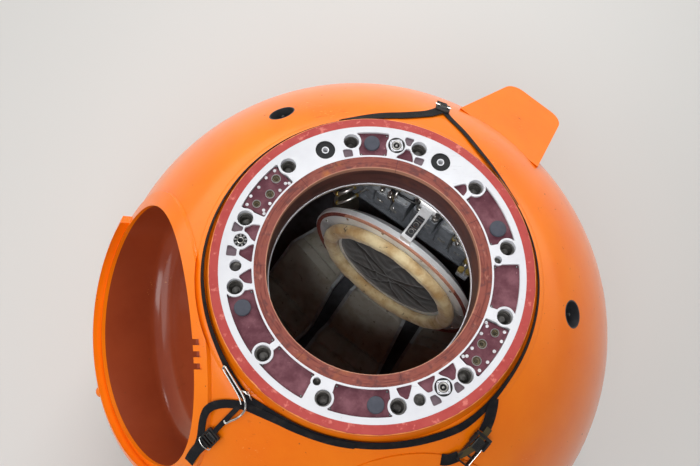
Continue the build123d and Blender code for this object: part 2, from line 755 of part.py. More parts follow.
# Connector plates, opposite each other: start and end angle, then each port's angle, radius and bore
PORT_PLATES = (
    (133.3, 154.7, ((151.2, 407.0, 13.0), (144.2, 391.0, 14.5), (137.0, 410.0, 14.5))),
    (313.3, 334.7, ((331.3, 407.0, 13.0), (324.2, 391.0, 14.5), (317.0, 408.0, 14.5))),
)
PLATE_T = 15.0
plate_shapes = [
    ring_sector(start, end, BAND_IN_R + 1.5, BAND_OUT_R - 1.5, 4) for start, end, ports in PORT_PLATES
]
with BuildPart() as port_plates:
    with BuildSketch(down(FRAME_T)):
        for shape in plate_shapes:
            add(shape)
        for angle in SOCKET_ANGLES:
            with Locations(ring_point(angle, SOCKET_PCD_R)):
                Circle(SOCKET_BOSS_R + 1.5, mode=Mode.SUBTRACT)
        for start, end, ports in PORT_PLATES:
            for angle, radius, bore in ports:
                with Locations(ring_point(angle, radius)):
                    Circle(bore, mode=Mode.SUBTRACT)
    extrude(amount=PLATE_T)
finish(port_plates, "port_plates")

with BuildPart() as port_rims:
    for start, end, ports in PORT_PLATES:
        for angle, radius, bore in ports:
            with BuildSketch(down(FRAME_T)):
                with Locations(ring_point(angle, radius)):
                    Circle(bore)
                    Circle(bore - 2, mode=Mode.SUBTRACT)
            extrude(amount=PLATE_T + 2)
finish(port_rims, "port_rims")

# Cabin

FLOOR_Z = 215.0
FLOOR_T = 15.0
with BuildPart() as cabin_floor:
    with BuildSketch(Plane.XY.offset(FLOOR_Z)):
        Circle(hull_r(FLOOR_Z) - WALL_ACROSS - 4)
        with PolarLocations(820, 12):
            Circle(70, mode=Mode.SUBTRACT)
    extrude(amount=FLOOR_T)
    add(spun(((700, 60), (716, 60), (716, FLOOR_Z), (700, FLOOR_Z))))
    add(under_bottom.part, mode=Mode.SUBTRACT)
    add(bottom_plate.part, mode=Mode.SUBTRACT)
finish(cabin_floor, "cabin_floor")

# Couches: each one's angle from the sight and its sideways place
COUCHES = ((0.0, 0.0), (13.0, 395.0), (-13.0, -395.0))
COUCH_T = 30.0
COUCH_W = 360.0
COUCH_LINE = ((-640, 500), (-560, 400), (-200, 345), (60, 350), (190, 640), (440, 660))
COUCH_FOOT_W = 200.0
PAD_T = 45.0
PAD_INSET = 15.0


def couch_plane(turn, aside):
    """Upright plane along one couch, x towards its foot."""
    a = radians(SIGHT_AZ)
    origin = (-sin(a) * aside, cos(a) * aside, 0)
    b = radians(SIGHT_AZ - turn)
    return Plane(origin=origin, x_dir=(cos(b), sin(b), 0), z_dir=(sin(b), -cos(b), 0))


def couch_band(low, high):
    """Side view of a couch between two offsets from its line."""
    lower = [(x, z + low) for x, z in COUCH_LINE]
    upper = [(x, z + high) for x, z in reversed(COUCH_LINE)]
    return lower + upper


def couch_layer(turn, aside, low, high, inset):
    """One layer of a couch: its side view drawn across, cut to its plan, narrow at the foot."""
    side = couch_plane(turn, aside)
    plan = Plane(origin=side.origin, x_dir=side.x_dir, z_dir=(0, 0, 1))
    wide = COUCH_W / 2 - inset
    narrow = COUCH_FOOT_W / 2 - inset
    with BuildPart() as body:
        with BuildSketch(side):
            Polygon(*couch_band(low, high), align=None)
        extrude(amount=COUCH_W / 2, both=True)
        with BuildSketch(plan):
            Polygon(
                (-650, -wide),
                (0, -wide),
                (450, -narrow),
                (450, narrow),
                (0, wide),
                (-650, wide),
                align=None,
            )
        extrude(amount=900, mode=Mode.INTERSECT)
    return body.part


COUCH_LEGS = ((-500, 391), (-60, 348))
with BuildPart() as couch_shells:
    for turn, aside in COUCHES:
        add(couch_layer(turn, aside, 0, COUCH_T, 0))
        for x, top in COUCH_LEGS:
            with BuildSketch(couch_plane(turn, aside)):
                with Locations((x, FLOOR_Z + FLOOR_T)):
                    Rectangle(36, top - FLOOR_Z - FLOOR_T + 8, align=(Align.CENTER, Align.MIN))
            extrude(amount=60, both=True)
finish(couch_shells, "couch_shells")

with BuildPart() as couch_pads:
    for turn, aside in COUCHES:
        add(couch_layer(turn, aside, COUCH_T, COUCH_T + PAD_T, PAD_INSET))
finish(couch_pads, "couch_pads")


def sight_point(u, w, z):
    """Point given by distance towards the sight, distance to its left, and height."""
    a = radians(SIGHT_AZ)
    return (u * cos(a) - w * sin(a), u * sin(a) + w * cos(a), z)


def sight_box(u, w, z, length, width, height):
    """Upright box squared to the sight, its place the middle of its foot."""
    with BuildPart() as body:
        with BuildSketch(Plane(origin=sight_point(u, w, z), x_dir=sight_point(1, 0, 0), z_dir=(0, 0, 1))):
            RectangleRounded(length, width, 8)
        extrude(amount=height)
    return body.part


with BuildPart() as instrument_panel:
    with BuildSketch(section_plane(SIGHT_AZ)):
        Polygon((600, 860), (770, 830), (800, 1180), (690, 1230), align=None)
    extrude(amount=400, both=True)
    with BuildSketch(section_plane(SIGHT_AZ)):
        Polygon((740, 850), (1000, 800), (1000, 900), (770, 1000), align=None)
    extrude(amount=40, both=True)
    add(hull_solid.part, mode=Mode.INTERSECT)
    add(side_wall.part, mode=Mode.SUBTRACT)
finish(instrument_panel, "instrument_panel")

# Equipment rack inside the dome on the sight side, and the boxes on its shelf
RACK_R = 480.0
RACK_T = 10.0
RACK_LOW_Z = 1370.0
RACK_HIGH_Z = 1560.0
RACK_SPAN = 96.0
SHELF_IN = 335.0
with BuildPart() as equipment_rack:
    with BuildSketch(section_plane(SIGHT_AZ - RACK_SPAN / 2)):
        Polygon(
            (RACK_R, RACK_LOW_Z),
            (RACK_R + RACK_T, RACK_LOW_Z),
            (RACK_R + RACK_T, RACK_HIGH_Z - RACK_T),
            (790, RACK_HIGH_Z - RACK_T),
            (790, RACK_HIGH_Z),
            (RACK_R, RACK_HIGH_Z),
            align=None,
        )
    revolve(axis=Axis.Z, revolution_arc=RACK_SPAN)
    add(inner_ball, mode=Mode.INTERSECT)
    with BuildSketch(Plane(origin=(0, 0, RACK_LOW_Z), x_dir=sight_point(1, 0, 0), z_dir=(0, 0, 1))) as shelf:
        Circle(RACK_R + RACK_T / 2)
        with Locations((SHELF_IN, 0)):
            Rectangle(1000, 1000, align=(Align.MAX, Align.CENTER), mode=Mode.SUBTRACT)
    extrude(amount=RACK_T)
finish(equipment_rack, "equipment_rack")

# Boxes on the shelf: distance towards the sight, to its left, then length, width, height
BOXES = (
    (410, -95, 110, 60, 170),
    (395, 95, 100, 60, 150),
    (400, 165, 110, 70, 120),
    (425, 240, 150, 70, 130),
    (400, -170, 110, 70, 120),
    (415, -245, 130, 60, 130),
    (415, 0, 100, 100, 130),
)
with BuildPart() as equipment_boxes:
    for u, w, length, width, height in BOXES:
        add(sight_box(u, w, RACK_LOW_Z + RACK_T, length, width, height))
    add(spun(((0, 1300), (RACK_R, 1300), (RACK_R, 1700), (0, 1700))), mode=Mode.INTERSECT)
finish(equipment_boxes, "equipment_boxes")

# Air valves on a manifold that stands out from a box: distance towards the sight and to its left
AIR_VALVES = ((283.0, -219.0), (318.0, -233.0))
MANIFOLD_Z = 1476.0
MANIFOLD_T = 14.0
with BuildPart() as air_valves:
    add(sight_box(308, -226, MANIFOLD_Z, 84, 44, MANIFOLD_T))
    for u, w in AIR_VALVES:
        place = sight_point(u, w, MANIFOLD_Z + MANIFOLD_T)
        with BuildSketch(Plane(origin=place, z_dir=(0, 0, 1))):
            RegularPolygon(14, 6)
        extrude(amount=26)
        with BuildSketch(Plane(origin=place, z_dir=(0, 0, 1)).offset(26)):
            Circle(10)
        extrude(amount=20)
finish(air_valves, "air_valves")

# Hatch lid and its hinge. The lid has swung down and in about a pin beside the seat

SIGHT_OUT = Vector(*sight_point(1, 0, 0))
SIGHT_LEFT = Vector(*sight_point(0, 1, 0))
PIVOT = SIGHT_OUT * PIVOT_R + Vector(0, 0, RING_TOP - PIVOT_DOWN)
LID_ALONG = SIGHT_OUT * -cos(radians(LID_OPEN)) - Vector(0, 0, sin(radians(LID_OPEN)))
LID_FACE = SIGHT_OUT * -sin(radians(LID_OPEN)) + Vector(0, 0, cos(radians(LID_OPEN)))
LID_CENTRE = PIVOT + LID_ALONG * PIVOT_R + LID_FACE * HATCH_LID_RISE
lid_face_plane = Plane(origin=LID_CENTRE, x_dir=LID_ALONG, z_dir=LID_FACE)
lid_side_plane = Plane(origin=LID_CENTRE, x_dir=LID_ALONG, z_dir=SIGHT_LEFT)
LUG_INNER = 39.0
LUG_T = 12.0
LUG_R = 22.0
LUG_TOP = (364.0, 394.0)

with BuildPart() as hinge_bracket:
    for side in (LUG_INNER, -LUG_INNER - LUG_T):
        with BuildSketch(section_plane(SIGHT_AZ).offset(side)):
            Polygon(
                (LUG_TOP[0], RING_TOP - TUNNEL_H - SEAT_T),
                (LUG_TOP[1], RING_TOP - TUNNEL_H - SEAT_T),
                (PIVOT_R + LUG_R, RING_TOP - PIVOT_DOWN),
                (PIVOT_R - LUG_R, RING_TOP - PIVOT_DOWN),
                align=None,
            )
            with Locations((PIVOT_R, RING_TOP - PIVOT_DOWN)):
                Circle(LUG_R)
        extrude(amount=LUG_T)
    with BuildSketch(section_plane(SIGHT_AZ)):
        with Locations((PIVOT_R, RING_TOP - PIVOT_DOWN)):
            Circle(PIN_R)
    extrude(amount=LUG_INNER + LUG_T + 6, both=True)
finish(hinge_bracket, "hinge_bracket")


def on_lid(piece):
    """A piece made flat about the origin, carried to the open lid."""
    return piece.moved(lid_face_plane.location)


with BuildPart() as flat_plate:
    with BuildSketch(Plane.XZ):
        Polygon(
            (0, 0),
            (HATCH_LID_R, 0),
            (HATCH_LID_R, -HATCH_LID_EDGE),
            (325, -HATCH_LID_T),
            (240, -HATCH_LID_T),
            (150, -62),
            (60, -70),
            (0, -70),
            align=None,
        )
    revolve(axis=Axis.Z)
with BuildPart() as lid_plate:
    add(on_lid(flat_plate.part))
finish(lid_plate, "lid_plate")

with BuildPart() as lid_seal:
    with BuildSketch(lid_face_plane):
        Circle(352)
        Circle(338, mode=Mode.SUBTRACT)
    extrude(amount=5)
finish(lid_seal, "lid_seal")

CUSHION_R = (235.0, 306.0)
CUSHION_T = 46.0
with BuildPart() as lid_cushion:
    with BuildSketch(lid_face_plane):
        Circle(CUSHION_R[1])
        Circle(CUSHION_R[0], mode=Mode.SUBTRACT)
    extrude(amount=CUSHION_T)
    fillet(lid_cushion.edges().group_by(Axis(origin=(0, 0, 0), direction=LID_FACE))[-1], 16)
finish(lid_cushion, "lid_cushion")

with BuildPart() as lid_cover:
    with BuildSketch(lid_face_plane):
        Circle(CUSHION_R[0] - 2)
    extrude(amount=20)
finish(lid_cover, "lid_cover")

# One deep arm from the rim of the lid to the pin, with a framed recess and two bores on its back
ARM_HALF_W = 21.0
ARM_BOSS_R = 20.0
ARM_BOSS_HALF = 32.0
ARM_BORES = (25.0, 62.0)
arm_back_plane = Plane(origin=LID_CENTRE - LID_ALONG * (PIVOT_R + 9), x_dir=SIGHT_LEFT, z_dir=LID_ALONG)
with BuildPart() as lid_arms:
    with BuildSketch(lid_side_plane):
        Polygon(
            (-PIVOT_R - 8, -HATCH_LID_RISE + 6),
            (-PIVOT_R - 4, -2),
            (-350, -2),
            (-350, -30),
            (-372, -60),
            (-376, -HATCH_LID_RISE + 6),
            align=None,
        )
    extrude(amount=ARM_HALF_W, both=True)
    with BuildSketch(lid_side_plane):
        with Locations((-PIVOT_R, -HATCH_LID_RISE)):
            Circle(ARM_BOSS_R)
    extrude(amount=ARM_BOSS_HALF, both=True)
    with BuildSketch(lid_side_plane):
        with Locations((-PIVOT_R, -HATCH_LID_RISE)):
            Circle(PIN_R + 0.05)
    extrude(amount=60, both=True, mode=Mode.SUBTRACT)
    with BuildSketch(arm_back_plane):
        with Locations((0, 60)):
            RectangleRounded(30, 88, 5)
    extrude(amount=6, mode=Mode.SUBTRACT)
    with BuildSketch(arm_back_plane):
        for depth in ARM_BORES:
            with Locations((0, depth)):
                Circle(10)
    extrude(amount=24, mode=Mode.SUBTRACT)
    add(lid_plate.part, mode=Mode.SUBTRACT)
finish(lid_arms, "lid_arms")

WHEEL_R = 95.0
WHEEL_DROP = 100.0
with BuildPart() as flat_wheel:
    with BuildSketch(Plane.XY.offset(-WHEEL_DROP - 10)):
        Circle(26)
    extrude(amount=50)
    with BuildSketch(Plane.XZ):
        with Locations((WHEEL_R, -WHEEL_DROP)):
            Circle(9)
    revolve(axis=Axis.Z)
    for k in range(3):
        a = radians(30 + 120 * k)
        with BuildSketch(Plane(origin=(0, 0, -WHEEL_DROP), x_dir=(0, 0, 1), z_dir=(cos(a), sin(a), 0))):
            Circle(7)
        extrude(amount=WHEEL_R)
    add(flat_plate.part, mode=Mode.SUBTRACT)
with BuildPart() as lid_wheel:
    add(on_lid(flat_wheel.part))
finish(lid_wheel, "lid_wheel")

# Recovery straps: a loop round the neck and three tails over the dome

STRAP_T = 3.0
LOOP_R = (509.0, 528.0)
LOOP_Z = (1838.0, 1822.0)
# Tails: azimuth and polar angle where each starts and ends, its width, its height over the dome
TAILS = (
    ((79.5, 34.2), (68.5, 47.5), 38.0, 0.5),
    ((221.5, 35.2), (224.5, 47.0), 38.0, 13.0),
    ((303.0, 34.2), (297.0, 52.0), 44.0, 3.5),
)


def strap_band(start, end, width, low, thick):
    """Band that follows a great circle of the dome, at a height over it."""
    first, last = direction(*start), direction(*end)
    normal = first.cross(last).normalized()
    centre = Vector(0, 0, DOME_CENTRE_Z)
    with BuildPart() as body:
        with BuildSketch(Plane(origin=centre, x_dir=first, z_dir=first.cross(normal))):
            with Locations((DOME_R + low + thick / 2, 0)):
                Rectangle(thick, width)
        revolve(axis=Axis(origin=centre, direction=normal), revolution_arc=first.get_angle(last))
    return body.part


with BuildPart() as neck_strap:
    add(
        spun(
            (
                (LOOP_R[0], LOOP_Z[0]),
                (LOOP_R[0] + 2, LOOP_Z[0] + STRAP_T),
                (LOOP_R[1] + 2, LOOP_Z[1] + STRAP_T),
                (LOOP_R[1], LOOP_Z[1]),
            )
        )
    )
    for start, end, width, low in TAILS:
        add(strap_band(start, end, width, low, STRAP_T))
finish(neck_strap, "neck_strap")

# Buckles: azimuth, polar angle, width, length, height over the dome
BUCKLES = (
    (69.6, 46.0, 52.0, 60.0, 4.0),
    (224.2, 44.6, 50.0, 62.0, 17.0),
    (301.2, 38.8, 60.0, 84.0, 8.0),
)
with BuildPart() as strap_buckles:
    for azimuth, polar, width, length, low in BUCKLES:
        with BuildSketch(dome_plane(azimuth, polar, DOME_R + low)):
            RectangleRounded(width, length, 6)
            with GridLocations(1, length / 2, 1, 2):
                Rectangle(width - 14, length / 4, mode=Mode.SUBTRACT)
        extrude(amount=9)
finish(strap_buckles, "strap_buckles")

with BuildPart() as lift_ring:
    with BuildSketch(dome_plane(227.5, 33.0, DOME_R + 24)):
        Circle(26)
        Circle(19, mode=Mode.SUBTRACT)
    extrude(amount=6)
    with BuildSketch(dome_plane(219.5, 33.4, DOME_R + 14)):
        SlotOverall(124, 40)
        SlotOverall(108, 24, mode=Mode.SUBTRACT)
    extrude(amount=8)
finish(lift_ring, "lift_ring")
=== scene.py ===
# %% [markdown]
# A crew descent capsule after a landing: an orange hull, a wide hatch ring with its
# sockets, an open hatch lid hanging inside, and a parachute bay that is empty. The
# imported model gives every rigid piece. This script gives each of them a finish, makes
# the soft pieces and the small fittings, and lights them in a plain studio.

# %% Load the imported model
import json
from math import cos, pi, radians, sin, tau

import bmesh
import bpy
import numpy as np
from mathutils import Matrix, Vector


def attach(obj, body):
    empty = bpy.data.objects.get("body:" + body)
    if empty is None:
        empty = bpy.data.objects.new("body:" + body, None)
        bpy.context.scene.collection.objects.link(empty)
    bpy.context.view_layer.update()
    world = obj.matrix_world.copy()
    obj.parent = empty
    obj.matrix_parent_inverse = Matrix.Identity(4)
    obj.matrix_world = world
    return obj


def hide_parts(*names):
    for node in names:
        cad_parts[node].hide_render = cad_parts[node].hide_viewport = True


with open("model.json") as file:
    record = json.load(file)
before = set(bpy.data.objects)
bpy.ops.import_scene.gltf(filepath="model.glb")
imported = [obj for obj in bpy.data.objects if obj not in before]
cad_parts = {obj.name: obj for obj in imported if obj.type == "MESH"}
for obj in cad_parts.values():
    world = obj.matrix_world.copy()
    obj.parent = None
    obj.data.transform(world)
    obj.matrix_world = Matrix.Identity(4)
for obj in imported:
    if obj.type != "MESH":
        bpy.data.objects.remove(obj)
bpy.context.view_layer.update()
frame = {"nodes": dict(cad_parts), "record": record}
nodes = frame["nodes"]
for material in list(bpy.data.materials):
    bpy.data.materials.remove(material)
HULL = "capsule"
LID = "hatch_lid"
print(len(nodes), "pieces in the frame")

# %% [markdown]
# The camera stands above and in front of the hatch. Its place and its turn come from the
# circles of the hatch ring, which are known in size, so the numbers are written down here
# and nothing is searched for. Every new object is linked to the scene by one function.

# %% Camera


def add_object(name, data):
    """New object at the origin, linked to the scene."""
    thing = bpy.data.objects.new(name, data)
    bpy.context.scene.collection.objects.link(thing)
    return thing


CAMERA_PLACE = (-0.19692, -0.66055, 4.18252)
CAMERA_AXES = (
    (0.998508, -0.0172366, -0.0518127),
    (0.0, 0.948872, -0.315663),
    (0.0546045, 0.315192, 0.947456),
)
FOCAL_PIXELS = 800
PHOTO_WIDTH = 700
camera_data = bpy.data.cameras.new("camera")
camera_data.sensor_width = 36
camera_data.lens = FOCAL_PIXELS / PHOTO_WIDTH * camera_data.sensor_width
camera_data.clip_start = 0.05
camera = add_object("camera", camera_data)
camera.matrix_world = Matrix.Translation(CAMERA_PLACE) @ Matrix(CAMERA_AXES).to_4x4()
bpy.context.scene.camera = camera
print("camera:", round(camera_data.lens, 2), "mm lens")

# %% [markdown]
# A mesh here is always worked out as whole arrays. A grid of points with a row for each
# step along one parameter and a column for each step along the other becomes a surface
# when every point is joined to its neighbours.

# %% Surfaces from grids of points


def new_mesh(name, points, faces):
    """Mesh from an array of points and a list of faces."""
    mesh = bpy.data.meshes.new(name)
    mesh.from_pydata(np.asarray(points, float).reshape(-1, 3).tolist(), [], faces)
    return mesh


def grid_faces(rows, columns, wrap_rows=False, wrap_columns=False):
    """Quads that join each point of a grid to the next one along and the next one across."""
    along = np.arange(rows if wrap_rows else rows - 1)
    across = np.arange(columns if wrap_columns else columns - 1)
    i, j = np.meshgrid(along, across, indexing="ij")
    next_i, next_j = (i + 1) % rows * columns, (j + 1) % columns
    quads = np.stack([i * columns + j, next_i + j, next_i + next_j, i * columns + next_j], -1)
    return quads.reshape(-1, 4)


def tube_faces(rows, columns):
    """Quads of a grid that closes on itself across, and one face over each of its two ends."""
    faces = grid_faces(rows, columns, False, True).tolist()
    faces.append(list(range(columns)))
    faces.append(list(range(rows * columns - 1, (rows - 1) * columns - 1, -1)))
    return faces


def circle(radius, count=24, start=0.0):
    """Points round a circle: (r cos t, r sin t)."""
    turn = start + np.arange(count) / count * tau
    return np.stack([radius * np.cos(turn), radius * np.sin(turn)], -1)


def frames_along(path, up, closed=False):
    """Unit side and unit normal at each point of a path, the normal as near to up as it can be."""
    if closed:
        ahead = np.roll(path, -1, 0) - np.roll(path, 1, 0)
    else:
        ahead = np.gradient(path, axis=0)
    ahead /= np.linalg.norm(ahead, axis=1, keepdims=True)
    side = np.cross(ahead, np.broadcast_to(np.asarray(up, float), path.shape))
    side /= np.linalg.norm(side, axis=1, keepdims=True)
    return side, np.cross(side, ahead)


def swept(path, profile, up, closed=False):
    """A closed profile carried along a path: point = path + side * profile x + normal * profile y."""
    side, normal = frames_along(path, up, closed)
    points = path[:, None] + side[:, None] * profile[None, :, :1] + normal[:, None] * profile[None, :, 1:]
    rows, columns = len(path), len(profile)
    faces = grid_faces(rows, columns, True, True).tolist() if closed else tube_faces(rows, columns)
    return points.reshape(-1, 3), faces


def spun(profile, count=96, place=(0, 0, 0)):
    """A closed profile of radius and height turned about the upright: x = r cos t, y = r sin t, z = h."""
    profile = np.asarray(profile, float)
    points = np.empty((count, len(profile), 3))
    points[..., :2] = circle(1, count)[:, None] * profile[None, :, :1]
    points[..., 2] = profile[:, 1]
    faces = grid_faces(count, len(profile), True, True).tolist()
    return points.reshape(-1, 3) + np.array(place), faces


# %% [markdown]
# Small fittings repeat: a screw or a rivet is worked out once and then placed many
# times, each time by a point and three directions. On the hatch ring the directions run
# outwards, round and up. On the dome they run level, up the dome and out of it.

# %% Fittings that repeat
RING_TOP = 1.884
DOME_CENTRE = np.array([0, 0, 0.999])
DOME_R = 0.970
CORNER_POINTS = 6


def stacked(outline, levels):
    """Solid whose outline is scaled at each height, closed at the top and at the bottom."""
    middle = outline.mean(0)
    rows, columns = len(levels), len(outline)
    rings = [np.column_stack([middle + (outline - middle) * k, np.full(columns, z)]) for k, z in levels]
    faces = grid_faces(rows, columns, False, True)[:, ::-1].tolist()
    faces.append(list(range(columns - 1, -1, -1)))
    faces.append(list(range((rows - 1) * columns, rows * columns)))
    return np.concatenate(rings), faces


def holed(outer, inner, low, high, bevel):
    """Flat plate between two outlines with the same number of points, its top edges bevelled."""
    inset = (inner - outer) * 0.08
    loops = (
        (outer, low),
        (outer, high - bevel),
        (outer + inset, high),
        (inner - inset, high),
        (inner, high - bevel),
        (inner, low),
    )
    points = [np.column_stack([loop, np.full(len(loop), z)]) for loop, z in loops]
    return np.concatenate(points), grid_faces(len(loops), len(outer), True, True)[:, ::-1].tolist()


def joined(*shapes):
    """Several shapes as one."""
    points, faces, start = [], [], 0
    for shape_points, shape_faces in shapes:
        points.append(shape_points)
        faces += [[corner + start for corner in face] for face in shape_faces]
        start += len(shape_points)
    return np.concatenate(points), faces


def on_ring(angle, radius, depth=0.0):
    """Place on the hatch ring, and its directions out, round and up."""
    turn = radians(angle)
    out = np.array([cos(turn), sin(turn), 0])
    axes = np.stack([out, [-sin(turn), cos(turn), 0], [0, 0, 1]], -1)
    return out * radius + [0, 0, RING_TOP - depth], axes


def on_dome(azimuth, polar, height=0.0):
    """Place on the dome, and its directions level, up the dome and out."""
    turn, lean = radians(azimuth), radians(polar)
    out = np.array([sin(lean) * cos(turn), sin(lean) * sin(turn), cos(lean)])
    level = np.array([-sin(turn), cos(turn), 0])
    return DOME_CENTRE + out * (DOME_R + height), np.stack([level, np.cross(out, level), out], -1)


def oblong(width, length, corner):
    """Outline of an oblong with round corners, counted round from the first corner."""
    turn = np.linspace(0, pi / 2, CORNER_POINTS)
    arc = np.stack([np.cos(turn), np.sin(turn)], -1) * corner
    middle = np.array([width / 2 - corner, length / 2 - corner])
    quarter = np.array([[0, 1], [-1, 0]])
    corners = []
    for side in ((1, 1), (-1, 1), (-1, -1), (1, -1)):
        corners.append(arc + middle * side)
        arc = arc @ quarter
    return np.concatenate(corners)


def placed(shape, spots):
    """Copies of a shape, one at each spot: p = origin + axes p0."""
    points, faces = shape
    origins = np.array([spot[0] for spot in spots])
    axes = np.array([spot[1] for spot in spots])
    copies = np.einsum("mij,nj->mni", axes, points) + origins[:, None]
    starts = range(0, len(spots) * len(points), len(points))
    return copies.reshape(-1, 3), [[corner + start for corner in face] for start in starts for face in faces]


def across_spot(spot, outline, height=0.0):
    """A spot with the same directions at each point of an outline that lies across it."""
    place, axes = spot
    return [(place + axes @ np.array([x, y, height]), axes) for x, y in outline]


def slotted_screw(radius, height):
    """Screw head in two halves over a disc, so that a slot is left between them."""
    turn = np.linspace(0.22, pi - 0.22, 9)
    half = np.stack([radius * np.cos(turn), radius * np.sin(turn)], -1)
    levels = ((1, 0), (1, height * 0.7), (0.86, height))
    disc = stacked(circle(radius * 0.97, 18), ((1, 0), (1, height * 0.45)))
    return joined(disc, stacked(half, levels), stacked(-half, levels))


def domed_rivet(radius, height):
    """Round head: height falls off as the square of the radius."""
    steps = np.array([1.0, 0.94, 0.8, 0.55, 0.25])
    return stacked(circle(radius, 12), [(1, -height * 0.3)] + [(k, height * (1 - k**2)) for k in steps])


# %% [markdown]
# Materials are built from coats. A finish starts as one plain coat, and each further
# coat lies over it where a mask is white, as dirt lies over paint or bare metal shows
# through it. What is the same all over stays on the shader's own sockets.

# %% Finishes made of coats


def light(red, green, blue):
    """Colour for a shader from the 0 to 255 numbers that a screen shows."""
    screen = np.array([red, green, blue]) / 255
    linear = np.where(screen <= 0.04045, screen / 12.92, ((screen + 0.055) / 1.055) ** 2.4)
    return (*[float(value) for value in linear], 1.0)


def feed(tree, value, socket):
    """Sets a socket to a value, or links it to the socket that gives the value."""
    if isinstance(value, bpy.types.NodeSocket):
        tree.links.new(value, socket)
    else:
        socket.default_value = value


def add_node(tree, kind, inputs=None, **settings):
    """Adds a shader node with its settings, then feeds its sockets by name or number."""
    node = tree.nodes.new("ShaderNode" + kind)
    for name, value in settings.items():
        setattr(node, name, value)
    for key, value in (inputs or {}).items():
        feed(tree, value, node.inputs[key])
    return node


def calc(tree, operation, *values):
    """One step of arithmetic."""
    return add_node(tree, "Math", dict(enumerate(values)), operation=operation).outputs[0]


def between(tree, value, low, high):
    """0 below low, 1 above high and smooth between them."""
    inputs = {"Value": value, "From Min": low, "From Max": high}
    return add_node(tree, "MapRange", inputs, interpolation_type="SMOOTHSTEP").outputs[0]


def mix_colours(tree, factor, first, second):
    """Colour that goes from the first to the second as the factor goes from 0 to 1."""
    node = add_node(tree, "Mix", {0: factor, 6: first, 7: second}, data_type="RGBA")
    return node.outputs[2]


def mix_values(tree, factor, first, second):
    """Number that goes from the first to the second as the factor goes from 0 to 1."""
    return add_node(tree, "Mix", {0: factor, 2: first, 3: second}, data_type="FLOAT").outputs[0]


def object_place(tree, scale=(1, 1, 1), turn=(0, 0, 0)):
    """The point being shaded, in metres in the capsule's own frame, scaled and turned."""
    place = add_node(tree, "TexCoord").outputs["Object"]
    inputs = {"Vector": place, "Scale": scale, "Rotation": turn}
    return add_node(tree, "Mapping", inputs).outputs[0]


class Finish:
    """A material in the making: one plain coat, then others that lie over it."""

    def __init__(self, name, colour, roughness, metallic=0.0, **plain):
        self.material = bpy.data.materials.new(name)
        self.material.use_nodes = True
        self.tree = self.material.node_tree
        self.shader = self.tree.nodes["Principled BSDF"]
        self.look = {"Base Color": colour, "Roughness": roughness, "Metallic": metallic}
        self.height = None
        for socket, value in plain.items():
            self.shader.inputs[socket.replace("_", " ")].default_value = value

    def effect(self, group, output="Mask", **values):
        """Places a shared effect in this material and gives one of its outputs."""
        node = add_node(self.tree, "Group", node_tree=bpy.data.node_groups[group])
        for socket, value in values.items():
            feed(self.tree, value, node.inputs[socket.replace("_", " ")])
        return node.outputs[output]

    def noise(self, scale, detail):
        """Cloudy noise on the object's own place."""
        inputs = {"Vector": object_place(self.tree), "Scale": scale, "Detail": detail}
        return add_node(self.tree, "TexNoise", inputs).outputs["Fac"]

    def cover(self, mask, colour=None, roughness=None, metallic=None):
        """Lays a coat over what is there already, where the mask is 1."""
        for socket, over in (("Base Color", colour), ("Roughness", roughness), ("Metallic", metallic)):
            if over is not None:
                mixed = mix_colours if socket == "Base Color" else mix_values
                self.look[socket] = mixed(self.tree, mask, self.look[socket], over)
        return self

    def clouded(self, scale, coverage, softness, colour=None, roughness=None, metallic=None):
        """Lays a coat over what is there in clouds of grime."""
        mask = self.effect("grime", Scale=scale, Coverage=coverage, Softness=softness)
        return self.cover(mask, colour, roughness, metallic)

    def scratched(self, scale, amount, colour=None, roughness=None, metallic=None):
        """Lays a coat over what is there in fine scratches."""
        mask = self.effect("scratches", Scale=scale, Amount=amount)
        return self.cover(mask, colour, roughness, metallic)

    def raised(self, value, height):
        """Adds relief: the value times this height in metres."""
        step = calc(self.tree, "MULTIPLY", value, height)
        self.height = step if self.height is None else calc(self.tree, "ADD", self.height, step)
        return self

    def done(self):
        """Links the coats to the shader."""
        for socket, value in self.look.items():
            feed(self.tree, value, self.shader.inputs[socket])
        if self.height is not None:
            bump = add_node(self.tree, "Bump", {"Height": self.height, "Distance": 1.0})
            self.tree.links.new(bump.outputs[0], self.shader.inputs["Normal"])


# %% [markdown]
# Several materials share the same effects, so each effect is a node group that is built
# once: clouds of grime, fine scratches, runs down a wall, a woven cloth, and a place on
# the capsule given as a radius, an angle and a height.

# %% Shared effects


def new_effect(name, inputs, outputs):
    """Empty node group with number sockets, and its first and last nodes."""
    tree = bpy.data.node_groups.new(name, "ShaderNodeTree")
    kind = "NodeSocketFloat"
    for socket, value in inputs.items():
        tree.interface.new_socket(socket, in_out="INPUT", socket_type=kind).default_value = value
    for socket in outputs:
        tree.interface.new_socket(socket, in_out="OUTPUT", socket_type=kind)
    return tree, tree.nodes.new("NodeGroupInput").outputs, tree.nodes.new("NodeGroupOutput").inputs


def grime_effect():
    """Mask = soft clouds, more of them as Coverage grows from 0 to 1."""
    tree, given, result = new_effect("grime", {"Scale": 5.0, "Coverage": 0.4, "Softness": 0.12}, ["Mask"])
    inputs = {"Vector": object_place(tree), "Scale": given["Scale"], "Detail": 8.0, "Roughness": 0.62}
    clouds = add_node(tree, "TexNoise", inputs).outputs["Fac"]
    middle = calc(tree, "SUBTRACT", 0.78, calc(tree, "MULTIPLY", given["Coverage"], 0.56))
    low = calc(tree, "SUBTRACT", middle, given["Softness"])
    high = calc(tree, "ADD", middle, given["Softness"])
    feed(tree, between(tree, clouds, low, high), result["Mask"])


